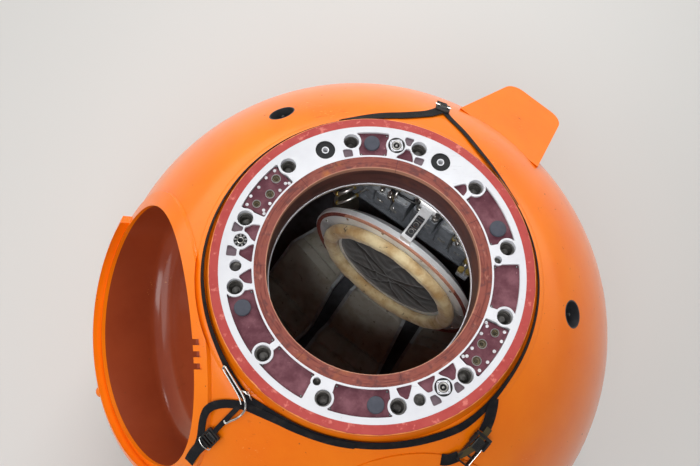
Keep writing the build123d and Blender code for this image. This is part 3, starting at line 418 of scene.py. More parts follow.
def scratches_effect():
    """Mask = long thin marks in two directions, in patches."""
    tree, given, result = new_effect("scratches", {"Scale": 14.0, "Amount": 0.5}, ["Mask"])
    marks = []
    for turn in ((0.3, 0.5, 0.6), (1.1, -0.4, -0.9)):
        inputs = {"Vector": object_place(tree, (1, 16, 16), turn), "Scale": given["Scale"], "Detail": 1.5}
        streak = add_node(tree, "TexNoise", inputs).outputs["Fac"]
        marks.append(between(tree, streak, 0.69, 0.74))
    inputs = {"Vector": object_place(tree), "Scale": 4.0, "Detail": 3.0}
    patches = add_node(tree, "TexNoise", inputs).outputs["Fac"]
    limit = calc(tree, "SUBTRACT", 0.72, calc(tree, "MULTIPLY", given["Amount"], 0.4))
    patch = between(tree, patches, limit, calc(tree, "ADD", limit, 0.12))
    feed(tree, calc(tree, "MULTIPLY", calc(tree, "MAXIMUM", *marks), patch), result["Mask"])


def runs_effect():
    """Mask = stains that run down a wall: noise drawn out along the height."""
    tree, given, result = new_effect("runs", {"Scale": 9.0, "Coverage": 0.4}, ["Mask"])
    drawn_out = object_place(tree, (1, 1, 0.09))
    inputs = {"Vector": drawn_out, "Scale": given["Scale"], "Detail": 6.0, "Roughness": 0.65}
    drawn = add_node(tree, "TexNoise", inputs).outputs["Fac"]
    middle = calc(tree, "SUBTRACT", 0.74, calc(tree, "MULTIPLY", given["Coverage"], 0.45))
    feed(tree, between(tree, drawn, middle, calc(tree, "ADD", middle, 0.16)), result["Mask"])


def weave_effect():
    """Height = threads that cross at right angles on the level; Pitch is the space between two."""
    tree, given, result = new_effect("weave", {"Pitch": 0.003}, ["Height"])
    place = add_node(tree, "SeparateXYZ", {0: object_place(tree)}).outputs
    waves = []
    for axis in ("X", "Y"):
        turns = calc(tree, "MULTIPLY", calc(tree, "DIVIDE", place[axis], given["Pitch"]), tau)
        waves.append(calc(tree, "SINE", turns))
    both = calc(tree, "MULTIPLY", waves[0], waves[1])
    feed(tree, calc(tree, "MULTIPLY_ADD", both, 0.5, 0.5), result["Height"])


def ring_place_effect():
    """Radius from the capsule's axis, Angle round it in radians, and Height, in metres."""
    tree, given, result = new_effect("ring place", {}, ["Radius", "Angle", "Height"])
    place = add_node(tree, "SeparateXYZ", {0: object_place(tree)}).outputs
    squares = [calc(tree, "MULTIPLY", place[axis], place[axis]) for axis in ("X", "Y")]
    feed(tree, calc(tree, "SQRT", calc(tree, "ADD", *squares)), result["Radius"])
    feed(tree, calc(tree, "ARCTAN2", place["Y"], place["X"]), result["Angle"])
    feed(tree, place["Z"], result["Height"])


for effect in (grime_effect, scratches_effect, runs_effect, weave_effect, ring_place_effect):
    effect()
print(len(bpy.data.node_groups), "shared effects")

# %% [markdown]
# The hull is sprayed a glossy orange. It has been lifted, dragged and walked on, so the
# gloss is broken by paler chalky clouds, thin scratches down to a lighter primer, dirty
# runs below the ring and scuffs that grow towards the ground.

# %% Hull paint
ORANGE = light(244, 118, 0)
PALE_ORANGE = light(250, 134, 16)
DEEP_ORANGE = light(234, 100, 0)
DIRT = light(120, 56, 20)
SCUFFS = (0.05, 0.75)


def hull_paint(name, colour, pale, deep, dirt_cover):
    """Glossy orange paint with clouds, scratches and runs; dirt_cover sets how dirty it is."""
    paint = Finish(name, colour, 0.4, Specular_IOR_Level=0.1, Coat_Weight=0.7, Coat_Roughness=0.16)
    paint.clouded(2.2, 0.5, 0.45, pale, 0.42)
    paint.clouded(4.0, 0.22, 0.5, deep)
    paint.cover(paint.effect("runs", Scale=7.0, Coverage=dirt_cover), DIRT, 0.65)
    paint.scratched(16.0, 0.3, light(255, 178, 100), 0.5)
    paint.scratched(7.0, 0.3, light(168, 64, 14), 0.5)
    paint.clouded(46.0, 0.14, 0.03, light(120, 62, 34), 0.7)
    high = between(paint.tree, paint.effect("ring place", "Height"), *SCUFFS)
    low = calc(paint.tree, "SUBTRACT", 1.0, high)
    clouds = paint.effect("grime", Scale=6.0, Coverage=0.6, Softness=0.25)
    paint.cover(calc(paint.tree, "MULTIPLY", low, clouds), light(164, 84, 30), 0.6)
    paint.raised(paint.noise(60.0, 2.0), 0.00025)
    paint.done()


hull_paint("orange_paint", ORANGE, PALE_ORANGE, DEEP_ORANGE, 0.12)
# The bay's paint is a darker red brown. This is partly the bay's own dirty paint and partly painted shade,
# because the open bay is a recess that lies in shadow.
hull_paint("bay_paint", light(146, 58, 26), light(158, 74, 42), light(124, 46, 22), 0.3)

# %% [markdown]
# The hatch ring is a white painted web let into a red composite ring. The red shows as
# the pocket floors inside the web, where it is darker and its cloth can be seen, and as
# the rim outside it, rubbed down to a paler layer along the edge. One material serves
# both, and finds out from the radius where it is.

# %% Hatch ring materials
RIM_INNER = 0.4634
RIM_EDGE = 0.4885
THREADS = 0.0035
RIM_RED = light(174, 75, 71)
FLOOR_RED = light(92, 52, 60)


def ring_composite():
    """Red resin and cloth: floor colour below the web's face, rim colour above it, a worn edge."""
    red = Finish("red_composite", FLOOR_RED, 0.6, Specular_IOR_Level=0.12)
    radius = red.effect("ring place", "Radius")
    rim = between(red.tree, radius, RIM_INNER - 0.002, RIM_INNER)
    red.cover(red.effect("weave", "Height", Pitch=THREADS), light(76, 40, 50))
    red.clouded(16.0, 0.4, 0.2, light(124, 82, 90))
    red.clouded(70.0, 0.16, 0.03, light(150, 112, 116))
    red.cover(rim, RIM_RED, 0.42)
    blotch = red.effect("grime", Scale=20.0, Coverage=0.42, Softness=0.15)
    red.cover(calc(red.tree, "MULTIPLY", rim, blotch), light(166, 66, 64), 0.5)
    chalky = red.effect("grime", Scale=34.0, Coverage=0.3, Softness=0.06)
    red.cover(calc(red.tree, "MULTIPLY", rim, chalky), light(204, 116, 106), 0.55)
    ragged = calc(red.tree, "MULTIPLY_ADD", red.noise(30.0, 6.0), 0.007, radius)
    edge = between(red.tree, ragged, RIM_EDGE + 0.0045, RIM_EDGE + 0.0062)
    red.cover(edge, light(246, 158, 96), 0.6)
    red.raised(red.effect("weave", "Height", Pitch=THREADS), 0.0002)
    red.done()


ring_composite()

white = Finish("white_paint", light(210, 211, 215), 0.45, Specular_IOR_Level=0.2)
white.clouded(9.0, 0.35, 0.25, light(200, 200, 206), 0.45)
white.clouded(60.0, 0.12, 0.02, light(160, 150, 146), 0.6)
white.scratched(22.0, 0.5, light(184, 184, 188), 0.5)
white.done()

# %% [markdown]
# The sealing ring is brown red with an orange stain here and there. It was turned on a
# lathe, so its marks run round it: the noise is drawn out along the angle.


# %% Sealing ring and tunnel
def turned_noise(finish, across, along):
    """Noise drawn out round the ring: the radius counts more than the angle."""
    parts = {}
    for key, (part, factor) in enumerate((("Radius", across), ("Angle", along), ("Height", across))):
        parts[key] = calc(finish.tree, "MULTIPLY", finish.effect("ring place", part), factor)
    place = add_node(finish.tree, "CombineXYZ", parts).outputs[0]
    inputs = {"Vector": place, "Scale": 1.0, "Detail": 5.0}
    return add_node(finish.tree, "TexNoise", inputs).outputs["Fac"]


SEAL_LENGTHS = 7
SEAL_LIP = (0.3225, 0.3255)


def stained_seal():
    """Brown red face with turning marks, orange stains and short seams between its lengths."""
    brown = Finish("brown_seal", light(130, 72, 63), 0.55, Specular_IOR_Level=0.15)
    brown.cover(between(brown.tree, turned_noise(brown, 220, 5), 0.46, 0.66), light(104, 54, 48))
    brown.cover(between(brown.tree, turned_noise(brown, 60, 9), 0.58, 0.78), light(164, 110, 96), 0.6)
    brown.clouded(40.0, 0.34, 0.1, light(96, 58, 56), 0.6)
    brown.clouded(12.0, 0.18, 0.1, light(160, 98, 58), 0.6)
    inside = between(brown.tree, brown.effect("ring place", "Radius"), *SEAL_LIP)
    brown.cover(calc(brown.tree, "SUBTRACT", 1.0, inside), light(176, 126, 104), 0.5)
    turns = calc(brown.tree, "DIVIDE", brown.effect("ring place", "Angle"), tau / SEAL_LENGTHS)
    seam = calc(brown.tree, "ABSOLUTE", calc(brown.tree, "SUBTRACT", calc(brown.tree, "FRACT", turns), 0.5))
    brown.cover(calc(brown.tree, "SUBTRACT", 1.0, between(brown.tree, seam, 0.0, 0.004)), light(78, 42, 42))
    brown.done()


stained_seal()

tunnel = Finish("tunnel_paint", light(84, 48, 46), 0.45, Specular_IOR_Level=0.2)
tunnel.cover(between(tunnel.tree, turned_noise(tunnel, 40, 3), 0.4, 0.7), light(60, 34, 34), 0.45)
tunnel.clouded(14.0, 0.3, 0.1, light(104, 66, 58), 0.6)
tunnel.scratched(16.0, 0.4, light(128, 94, 84))
tunnel.done()

# %% [markdown]
# Bare metals differ mostly in colour, in how rough they are and in how dirty. One
# function makes them all, so that each call says only what is different.


# %% Metals, plastics and rubbers
def bare_metal(name, colour, roughness, dirt=light(70, 62, 54), cover=0.3, scale=18.0):
    """Metal with clouds of dirt and fine scratches."""
    metal = Finish(name, colour, roughness, 1.0)
    metal.clouded(scale, cover, 0.2, dirt, 0.6, 0.4)
    metal.scratched(30.0, 0.5, light(225, 222, 215), 0.3, 1.0)
    metal.done()


def moulded(name, colour, roughness, second, scale=30.0, grain=0.0002, **plain):
    """Plastic, rubber or satin paint: two close colours in clouds, and a fine grain."""
    skin = Finish(name, colour, roughness, **plain)
    skin.clouded(scale, 0.4, 0.22, second, min(roughness + 0.12, 1))
    skin.scratched(24.0, 0.25, tuple(min(1, part * 2.2 + 0.02) for part in second))
    skin.raised(skin.noise(scale * 14, 2.0), grain)
    skin.done()


bare_metal("silver_metal", light(196, 194, 190), 0.3, cover=0.26)
bare_metal("socket_metal", light(150, 147, 142), 0.36, light(48, 44, 40), 0.5, 24.0)
bare_metal("steel_hardware", light(214, 212, 208), 0.2, cover=0.16)
bare_metal("engine_metal", light(140, 136, 130), 0.45, light(40, 36, 32), 0.5)
bare_metal("window_metal", light(168, 166, 162), 0.34, cover=0.3)
bare_metal("bare_frame", light(176, 172, 164), 0.42, light(96, 80, 60), 0.42)
bare_metal("yellow_metal", light(206, 182, 104), 0.34, light(98, 78, 44), 0.3)
lid_metal = Finish("lid_metal", light(236, 238, 240), 0.3, 0.35)
lid_metal.clouded(7.0, 0.3, 0.15, light(150, 146, 140), 0.4)
lid_metal.scratched(26.0, 0.5, light(232, 230, 226), 0.3)
lid_metal.done()
moulded("screw_metal", light(226, 226, 228), 0.34, light(176, 176, 178))
moulded("dark_metal", light(58, 58, 62), 0.42, light(38, 38, 40))
moulded("black_plastic", light(18, 18, 20), 0.4, light(28, 28, 30), Specular_IOR_Level=0.3)
moulded("web_plate", light(98, 80, 88), 0.6, light(80, 66, 72), 50.0, 0.0002)
moulded("grey_rubber", light(56, 59, 70), 0.75, light(70, 72, 82), 40.0, 0.0004)
moulded("port_core", light(104, 92, 66), 0.5, light(72, 64, 48), 60.0)
moulded("panel_grey", light(140, 144, 148), 0.4, light(108, 110, 112))
moulded("box_grey", light(118, 122, 128), 0.4, light(84, 86, 90))
moulded("rack_grey", light(84, 88, 94), 0.45, light(58, 60, 64))
moulded("cabin_lining", light(72, 74, 80), 0.5, light(50, 50, 56))
moulded("bottom_metal", light(150, 142, 128), 0.6, light(96, 84, 68), 5.0)
moulded("couch_metal", light(140, 144, 146), 0.45, light(112, 114, 114))
moulded("buckle_metal", light(22, 22, 24), 0.36, light(40, 38, 36))

glass = Finish("window_glass", light(226, 236, 240), 0.03, Transmission_Weight=1.0, IOR=1.46)
glass.clouded(9.0, 0.2, 0.2, roughness=0.14)
glass.done()

# %% [markdown]
# Cloth and leather: the cream ring on the lid is a padded roll in a wiped and stained
# cover, and the dark middle of the lid is a wrinkled sheet. The couch liners are
# quilted. Webbing has its own weave, which follows the strap by its UV map.


# %% Cloths
def worn_cloth(name, colour, stain, thread, cover=0.4):
    """Cover with a weave, clouds of stain and fine creases."""
    cloth = Finish(name, colour, 0.78, Sheen_Weight=0.2)
    cloth.clouded(9.0, cover, 0.18, stain, 0.85)
    cloth.clouded(34.0, 0.2, 0.05, light(66, 50, 36), 0.85)
    cloth.raised(cloth.effect("weave", "Height", Pitch=thread), 0.0002)
    cloth.raised(cloth.noise(24.0, 6.0), 0.002)
    cloth.done()


worn_cloth("cream_cushion", light(226, 208, 164), light(176, 138, 84), 0.002, 0.5)
worn_cloth("lid_cover_dark", light(32, 24, 18), light(15, 11, 8), 0.003, 0.5)
worn_cloth("couch_fabric", light(150, 148, 138), light(118, 112, 98), 0.004)


RIB_PITCH = 0.0016
COLUMN_PITCH = 0.004


def webbing(name, colour, thread):
    """Woven strap: ribs across it and columns along it, by the strap's UV in metres."""
    strap = Finish(name, colour, 0.8, Specular_IOR_Level=0.25)
    place = add_node(strap.tree, "SeparateXYZ", {0: add_node(strap.tree, "TexCoord").outputs["UV"]}).outputs
    rib = calc(strap.tree, "SINE", calc(strap.tree, "MULTIPLY", place["X"], tau / RIB_PITCH))
    column = calc(strap.tree, "SINE", calc(strap.tree, "MULTIPLY", place["Y"], tau / COLUMN_PITCH))
    woven = calc(strap.tree, "MULTIPLY_ADD", calc(strap.tree, "MULTIPLY", rib, column), 0.5, 0.5)
    strap.cover(woven, thread)
    strap.clouded(30.0, 0.3, 0.15, light(44, 40, 38), 0.85)
    strap.raised(woven, 0.0003)
    strap.done()


webbing("black_webbing", light(8, 8, 12), light(20, 21, 27))
webbing("khaki_webbing", light(62, 54, 36), light(84, 74, 48))

# %% [markdown]
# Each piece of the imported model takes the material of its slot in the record. A few have
# a finish of their own, because the photograph shows them darker or paler than their
# slot. A new piece is made, finished and tied to its body by one function.

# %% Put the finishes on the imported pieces
finishes = {material.name: material for material in bpy.data.materials}
assert not any("." in name for name in finishes), "two materials share a name"
for row in frame["record"]["subparts"]:
    if row["node"] in nodes:
        mesh = nodes[row["node"]].data
        mesh.materials.clear()
        mesh.materials.append(finishes[row["material_slot"]])
OTHER_FINISHES = {
    "socket_cups": "socket_metal",
    "equipment_boxes": "box_grey",
    "equipment_rack": "rack_grey",
    "lid_plate": "lid_metal",
    "lid_arms": "lid_metal",
}
for name, finish in OTHER_FINISHES.items():
    nodes[name].data.materials[0] = finishes[finish]
print("finishes:", sorted(finishes))


SHARP = radians(34)


def add_piece(name, shape, finish, slot=None, body=HULL, replaces=()):
    """A finished piece: mesh, body, material, and the nodes that it stands for; the slot argument is not
    used.
    """
    mesh = new_mesh(name, *shape)
    mesh.polygons.foreach_set("use_smooth", np.ones(len(mesh.polygons), bool))
    mesh.update()
    mesh.set_sharp_from_angle(angle=SHARP)
    mesh.materials.append(finishes[finish])
    piece = add_object(name, mesh)
    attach(piece, body)
    if replaces:
        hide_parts(*replaces)
    return piece


# %% [markdown]
# The gaps in the white web are shallow: a red composite floor shows just under its face.
# A large floor is a slab between two angles and two radii. Where a socket's boss bites
# into the gap, the slab's end is drawn back by the law of cosines, so that it stays out
# of the socket. A small floor is the gap's own rounded outline, a little larger. The
# three-cornered gaps are red too, and the smallest have a floor of grey plastic.

# %% Floors in the gaps of the web
BAND = (0.364, 0.443)
FLOOR_DEPTH = 0.009
GREY_FLOOR_DEPTH = 0.005
FLOOR_FOOT = 0.0215
FLOOR_OVERLAP = 0.0014
SOCKET_R = 0.416
SOCKET_ANGLES = [9.2 + 30 * k for k in range(12)]
BOSSES = [(angle, SOCKET_R, 0.0275) for angle in SOCKET_ANGLES]
BOSSES += [(79.2, 0.407, 0.030), (299.0, 0.407, 0.030), (169.1, 0.408, 0.026)]
RED_GAPS = (
    (191.5, 218.0), (221.0, 242.0), (252.0, 276.5), (341.0, 362.0), (371.5, 397.5), (83.0, 96.4),
)
GREY_GAPS = (
    (65.0, 69.5, 0.364, 0.390), (99.5, 104.0, 0.364, 0.392), (162.0, 166.2, 0.410, 0.443),
    (172.0, 176.3, 0.412, 0.443), (292.1, 295.9, 0.414, 0.443), (302.4, 306.1, 0.414, 0.443),
    (72.4, 76.1, 0.414, 0.443),
)
THREE_CORNERED_GAPS = (
    (279.4, 287.2, 0.364, 0.402, 281.2, 283.8), (289.2, 298.6, 0.364, 0.403, 292.2, 295.2),
    (299.8, 309.0, 0.364, 0.405, 303.2, 307.0), (39.4, 46.6, 0.364, 0.400, 41.0, 43.6),
    (69.4, 78.6, 0.364, 0.404, 72.0, 75.4), (159.6, 168.8, 0.364, 0.406, 161.4, 165.0),
    (169.4, 178.9, 0.364, 0.405, 172.6, 175.6), (181.2, 189.2, 0.364, 0.402, 184.6, 187.4),
)
WEB_BOSSES = [(angle, SOCKET_R, 0.0278) for angle in SOCKET_ANGLES]
WEB_BOSSES += [(79.2, 0.407, 0.0305), (299.0, 0.407, 0.0305), (169.1, 0.408, 0.0285)]
WEB_BOSSES += [(180.3, 0.412, 0.0225), (288.1, 0.412, 0.0225), (111.4, 0.407, 0.035), (58.2, 0.407, 0.035)]


SOFTNESS = 0.0020
OUTLINE_POINTS = 60
FARTHEST = 0.05


def gap_outline(start, end, inner, outer, outer_start=None, outer_end=None, grow=0.0):
    """Rounded gap: where the soft maximum k ln(sum of exp(wall / k)) of its walls is nought."""
    middle = (start + end) / 2
    outer_start = start if outer_start is None else outer_start
    outer_end = end if outer_end is None else outer_end

    def wall(points):
        x, y = points[..., 0], points[..., 1]
        radius = np.hypot(x, y)
        turn = np.mod(np.degrees(np.arctan2(y, x)) - middle + 180, 360) - 180
        walls = [inner - radius, radius - outer]
        share = (radius - inner) / (outer - inner)
        first, last = start + share * (outer_start - start), end + share * (outer_end - end)
        walls += [np.radians(first - middle - turn) * radius, np.radians(turn + middle - last) * radius]
        for angle, at, boss in WEB_BOSSES:
            walls.append(boss - np.hypot(x - at * cos(radians(angle)), y - at * sin(radians(angle))))
        walls = np.stack(walls) / SOFTNESS
        top = walls.max(0)
        return SOFTNESS * (top + np.log(np.exp(walls - top).sum(0)))

    turns, radii = np.meshgrid(np.radians(np.linspace(start, end, 40)), np.linspace(inner, outer, 40))
    spots = np.stack([radii * np.cos(turns), radii * np.sin(turns)], -1).reshape(-1, 2)
    centre = spots[wall(spots).argmin()]
    reach = np.linspace(0, FARTHEST, 500)
    rays = circle(1.0, OUTLINE_POINTS)
    depth = wall(centre + rays[:, None, :] * reach[None, :, None])
    first = np.argmax(depth >= grow, axis=1)
    row = np.arange(OUTLINE_POINTS)
    before, after = depth[row, first - 1], depth[row, first]
    found = reach[first - 1] + (grow - before) / (after - before) * (reach[1] - reach[0])
    return centre + rays * found[:, None]


def gap_ends(start, end, radii):
    """Start and end angle of a gap at each radius, kept out of every boss that is near."""
    first, last = np.full(len(radii), float(start)), np.full(len(radii), float(end))
    for angle, at, boss in BOSSES:
        reach = (radii**2 + at**2 - boss**2) / (2 * radii * at)
        half = np.degrees(np.arccos(np.clip(reach, -1, 1)))
        for turn in (angle, angle + 360):
            near = abs(turn - (start + end) / 2) < (end - start) / 2 + 5
            before = turn < (start + end) / 2
            first = np.maximum(first, turn + half) if near and before else first
            last = np.minimum(last, turn - half) if near and not before else last
    return first, last


def slab(first, last, radii, low, high, steps=24):
    """Slab whose ends follow two angles at each radius: angle = first + s (last - first)."""
    share = np.linspace(0, 1, steps)[:, None]
    turn = np.radians(first + share * (last - first))
    top = np.stack([radii * np.cos(turn), radii * np.sin(turn), np.full(turn.shape, RING_TOP - high)], -1)
    foot = top - [0, 0, low - high]
    points = np.concatenate([foot, top[:, ::-1]], 1)
    return points.reshape(-1, 3), tube_faces(steps, 2 * len(radii))


def outlined_floor(row, depth):
    """Floor of a small gap: its outline, a little larger, between two heights."""
    levels = ((1, RING_TOP - FLOOR_FOOT), (1, RING_TOP - depth))
    return stacked(gap_outline(*row, grow=FLOOR_OVERLAP), levels)


across = np.linspace(BAND[0] - 0.001, BAND[1] + 0.001, 14)
red_floors = [slab(*gap_ends(*gap, across), across, FLOOR_FOOT, FLOOR_DEPTH) for gap in RED_GAPS]
red_floors += [outlined_floor(row, FLOOR_DEPTH) for row in THREE_CORNERED_GAPS]
add_piece("gap_floors", joined(*red_floors), "red_composite")
grey_floors = [outlined_floor(row, GREY_FLOOR_DEPTH) for row in GREY_GAPS]
add_piece("small_gap_floors", joined(*grey_floors), "web_plate", slot="panel_grey")
print(len(red_floors), "red floors and", len(grey_floors), "grey ones")

# %% [markdown]
# The white web is one machined plate. Its small gaps follow the bosses round the bores
# and end in round corners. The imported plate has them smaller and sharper, so a merged
# copy of it is cut once more with the rounded outlines, and the copy takes its place.

# %% Web with rounded gaps


def keep_modifiers(piece):
    """Applies every modifier on a piece, at the frame that the scene shows."""
    piece.update_tag()
    bpy.context.view_layer.update()
    shown = piece.evaluated_get(bpy.context.evaluated_depsgraph_get())
    piece.data = bpy.data.meshes.new_from_object(shown)
    piece.modifiers.clear()


source = bmesh.new()
source.from_mesh(nodes["hatch_frame"].data)
bmesh.ops.remove_doubles(source, verts=source.verts, dist=2e-5)
source.verts.index_update()
web_points = np.array([vertex.co[:] for vertex in source.verts])
web_faces = [[vertex.index for vertex in face.verts] for face in source.faces]
source.free()
web = add_piece("web_frame", (web_points, web_faces), "white_paint", replaces=("hatch_frame",))
through = ((1, RING_TOP - 0.03), (1, RING_TOP + 0.01))
cutters = joined(*[stacked(gap_outline(*row), through) for row in THREE_CORNERED_GAPS + GREY_GAPS])
cutter = add_object("gap_cutters", new_mesh("gap_cutters", *cutters))
cut = web.modifiers.new("gaps", "BOOLEAN")
cut.operation = "DIFFERENCE"
cut.solver = "EXACT"
cut.object = cutter
keep_modifiers(web)
web.data.set_sharp_from_angle(angle=SHARP)
bpy.data.objects.remove(cutter)
print("web:", len(web_faces), "faces before,", len(web.data.polygons), "after")

# %% [markdown]
# Screws hold the two connector plates, and a small stud stands in each corner of the
# large gaps' floors. The slots of the screws point every way, as a fitter leaves them, so
# each screw is turned by an angle that grows by the golden angle from one to the next.

# %% Screws and studs on the hatch ring
GOLDEN_ANGLE = 137.508


def spin(degrees):
    """Matrix that turns directions about the upward one."""
    turn = radians(degrees)
    return np.array([[cos(turn), -sin(turn), 0], [sin(turn), cos(turn), 0], [0, 0, 1]])


def turned(spot, degrees):
    """The same spot with its own directions turned about its upward one."""
    return spot[0], spot[1] @ spin(degrees)


SCREW_DEPTH = 0.007
STUD_INSET = 0.0065
PLATE_SCREWS = (
    (153.4, 0.4315), (149.5, 0.4355), (144.6, 0.432), (139.5, 0.4345), (134.9, 0.4325),
    (134.3, 0.3715), (135.6, 0.3785), (139.9, 0.375), (148.0, 0.373), (153.7, 0.3715), (152.3, 0.3780),
)
screw_spots = []
for opposite in (0, 180):
    screw_spots += [on_ring(angle + opposite, radius, SCREW_DEPTH) for angle, radius in PLATE_SCREWS]
screw_spots = [turned(spot, GOLDEN_ANGLE * k) for k, spot in enumerate(screw_spots)]
screws = placed(slotted_screw(0.0050, 0.003), screw_spots)
add_piece("plate_screws", screws, "screw_metal", slot="steel_hardware")

stud_spots = []
for start, end in RED_GAPS:
    corners = np.array([BAND[0] + STUD_INSET, BAND[1] - STUD_INSET])
    first, last = gap_ends(start, end, corners)
    inset = np.degrees(STUD_INSET / corners)
    for radius, low, high in zip(corners, first + inset, last - inset):
        stud_spots += [on_ring(low, radius, FLOOR_DEPTH), on_ring(high, radius, FLOOR_DEPTH)]
washer = stacked(circle(0.0038, 14), ((1, -0.0004), (1, 0.0004), (0.9, 0.0007)))
add_piece("gap_studs", placed(washer, stud_spots), "dark_metal")
add_piece("gap_stud_heads", placed(domed_rivet(0.0022, 0.0018), stud_spots), "silver_metal")
print(len(screw_spots), "screws and", len(stud_spots), "studs")

# %% [markdown]
# The blank caps are moulded rubber, round on the edge and a little domed. The sockets
# are stepped inside: a sleeve stands in each bore and a small boss on its floor. A port
# in a connector plate has an olive core with a ring of pins round three more.

# %% Caps, socket sleeves and port cores
CAPS = ((90.2, 0.407, 0.025), (198.5, 0.407, 0.025), (270.3, 0.407, 0.025), (18.5, 0.406, 0.026))
CAP_DEPTH = 0.0092
cap_levels = ((1, 0), (1, 0.0060), (0.985, 0.0072), (0.95, 0.0080), (0.88, 0.0084), (0.5, 0.0088))
caps = []
for angle, radius, size in CAPS:
    caps.append(placed(stacked(circle(size, 40), cap_levels), [on_ring(angle, radius, CAP_DEPTH)]))
add_piece("blank_caps", joined(*caps), "grey_rubber", replaces=("rubber_caps",))

sleeve_line = ((0.0195, -0.044), (0.0242, -0.044), (0.0242, -0.020), (0.0232, -0.0185), (0.0195, -0.0185))
sleeve = spun(sleeve_line, 36)
boss = stacked(circle(0.009, 18), ((1, -0.0485), (1, -0.043), (0.9, -0.042)))
step = spun(((0.012, -0.0485), (0.0194, -0.0485), (0.0194, -0.034), (0.0178, -0.0335)), 36)
socket_spots = [on_ring(angle, SOCKET_R) for angle in SOCKET_ANGLES]
sleeves = placed(joined(sleeve, boss, step), socket_spots)
add_piece("socket_sleeves", sleeves, "socket_metal", slot="silver_metal")

PORTS = ((151.2, 0.407, 0.013), (144.2, 0.391, 0.0145), (137.0, 0.410, 0.0145))
PORTS += ((331.3, 0.407, 0.013), (324.2, 0.391, 0.0145), (317.0, 0.408, 0.0145))
PIN_DEPTH = 0.0195
port_floor = stacked(circle(0.0050, 16), ((1, -0.0208), (1, -0.0188), (0.6, -0.0186)))
port_pin = stacked(circle(0.0008, 6), ((1, 0), (1, 0.0095), (0.5, 0.0102)))
cores, pins = [], []
for angle, radius, bore in PORTS:
    wall = bore - 0.0022
    outline = ((0.0045, -0.021), (wall, -0.021), (wall, -0.0095), (bore - 0.004, -0.0085))
    outline += ((bore - 0.0055, -0.0115), (0.0062, -0.0125), (0.0045, -0.015))
    cores.append(placed(joined(spun(outline, 28), port_floor), [on_ring(angle, radius)]))
    for ring in (circle(bore * 0.52, 8), circle(0.0018, 3)):
        pins.append(placed(port_pin, across_spot(on_ring(angle, radius, PIN_DEPTH), ring)))
add_piece("port_cores", joined(*cores), "port_core", slot="black_plastic")
add_piece("port_pins", joined(*pins), "silver_metal")

# %% [markdown]
# The two pin connectors sit in a black ring under a white flange: a square with round
# corners, worked out as a superellipse, whose corners nearly touch the ring. A silver
# collar stands inside it round a dark well with one pin.

# %% Pin connectors
PIN_CONNECTORS = ((79.2, 0.407, 20), (299.0, 0.407, 65))
SQUARENESS = 4.2


def rounded_square(half, count):
    """Superellipse: r = half / (|cos t|^n + |sin t|^n)^(1/n)."""
    turn = np.arange(count) / count * tau
    powers = np.abs(np.cos(turn)) ** SQUARENESS + np.abs(np.sin(turn)) ** SQUARENESS
    reach = half / powers ** (1 / SQUARENESS)
    return np.stack([reach * np.cos(turn), reach * np.sin(turn)], -1)


connector_spots = [turned(on_ring(angle, radius), lean) for angle, radius, lean in PIN_CONNECTORS]
black_parts = joined(
    holed(circle(0.0266, 48), circle(0.0130, 48), -0.0030, -0.0012, 0.0003),
    stacked(circle(0.0132, 32), ((1, -0.0140), (1, -0.0075), (0.6, -0.0078))),
)
add_piece("connector_blacks", placed(black_parts, connector_spots), "black_plastic")
flange = holed(rounded_square(0.0196, 48), circle(0.0158, 48), -0.0015, -0.0002, 0.0004)
add_piece("connector_flanges", placed(flange, connector_spots), "white_paint")
collar_line = ((0.0112, -0.0075), (0.0140, -0.0030), (0.0140, -0.0005), (0.0128, -0.0002), (0.0112, -0.0010))
collar = spun(collar_line, 40)
pin = stacked(circle(0.0034, 16), ((1, -0.010), (1, -0.0035), (0.7, -0.0020), (0.3, -0.0016)))
add_piece("connector_collars", placed(joined(collar, pin), connector_spots), "silver_metal")
flange_corners = circle(0.0202, 4, pi / 4)
corner_spots = []
for spot in connector_spots:
    corner_spots += across_spot(spot, flange_corners, -0.0005)
corner_screw = stacked(circle(0.0017, 10), ((1, 0), (1, 0.0004)))
add_piece("connector_screws", placed(corner_screw, corner_spots), "dark_metal")

# %% [markdown]
# One socket has teeth: dark slots between pale blocks stand round a small bore.

# %% Toothed socket
tooth_spot = [on_ring(169.1, 0.408)]
slots = joined(
    holed(circle(0.0200, 48), circle(0.0098, 48), -0.0030, -0.0022, 0.0002),
    stacked(circle(0.0080, 32), ((1, -0.0180), (1, -0.0100), (0.6, -0.0102))),
)
add_piece("socket_slots", placed(slots, tooth_spot), "black_plastic")
TEETH = 9
blocks = []
for k in range(TEETH):
    turn = tau * k / TEETH
    block = oblong(0.0072, 0.0052, 0.0008) + [0.0158, 0]
    block = block @ np.array([[cos(turn), sin(turn)], [-sin(turn), cos(turn)]])
    blocks.append(stacked(block, ((1, -0.0024), (1, -0.0008), (0.9, -0.0004))))
collar_line = ((0.0080, -0.0120), (0.0100, -0.0024), (0.0100, -0.0010), (0.0094, -0.0006), (0.0082, -0.0012))
socket_collar = spun(collar_line, 40)
add_piece("socket_teeth", placed(joined(*blocks, socket_collar), tooth_spot), "silver_metal")

# %% [markdown]
# A rounded bead runs round the foot of the tunnel, where the lid would seat, and shows
# as a thin pale line. Outside the ring, a low flange of the neck lies on the dome.

# %% Seat bead and neck flange
bead = circle(0.0026, 10) + [0.3217, RING_TOP - 0.1322]
add_piece("seat_bead", spun(bead, 144), "white_paint")

FLANGE_EDGE = 0.5385
flange_r = np.linspace(0.5065, FLANGE_EDGE, 8)
flange_low = DOME_CENTRE[2] + np.sqrt(DOME_R**2 - flange_r**2)
flange_high = flange_low + np.where(flange_r > FLANGE_EDGE - 0.0005, 0.0008, 0.0022)
foot = np.column_stack([flange_r, flange_low - 0.002])
flange_line = np.vstack([foot, np.column_stack([flange_r, flange_high])[::-1]])
add_piece("neck_flange", spun(flange_line, 160), "orange_paint")

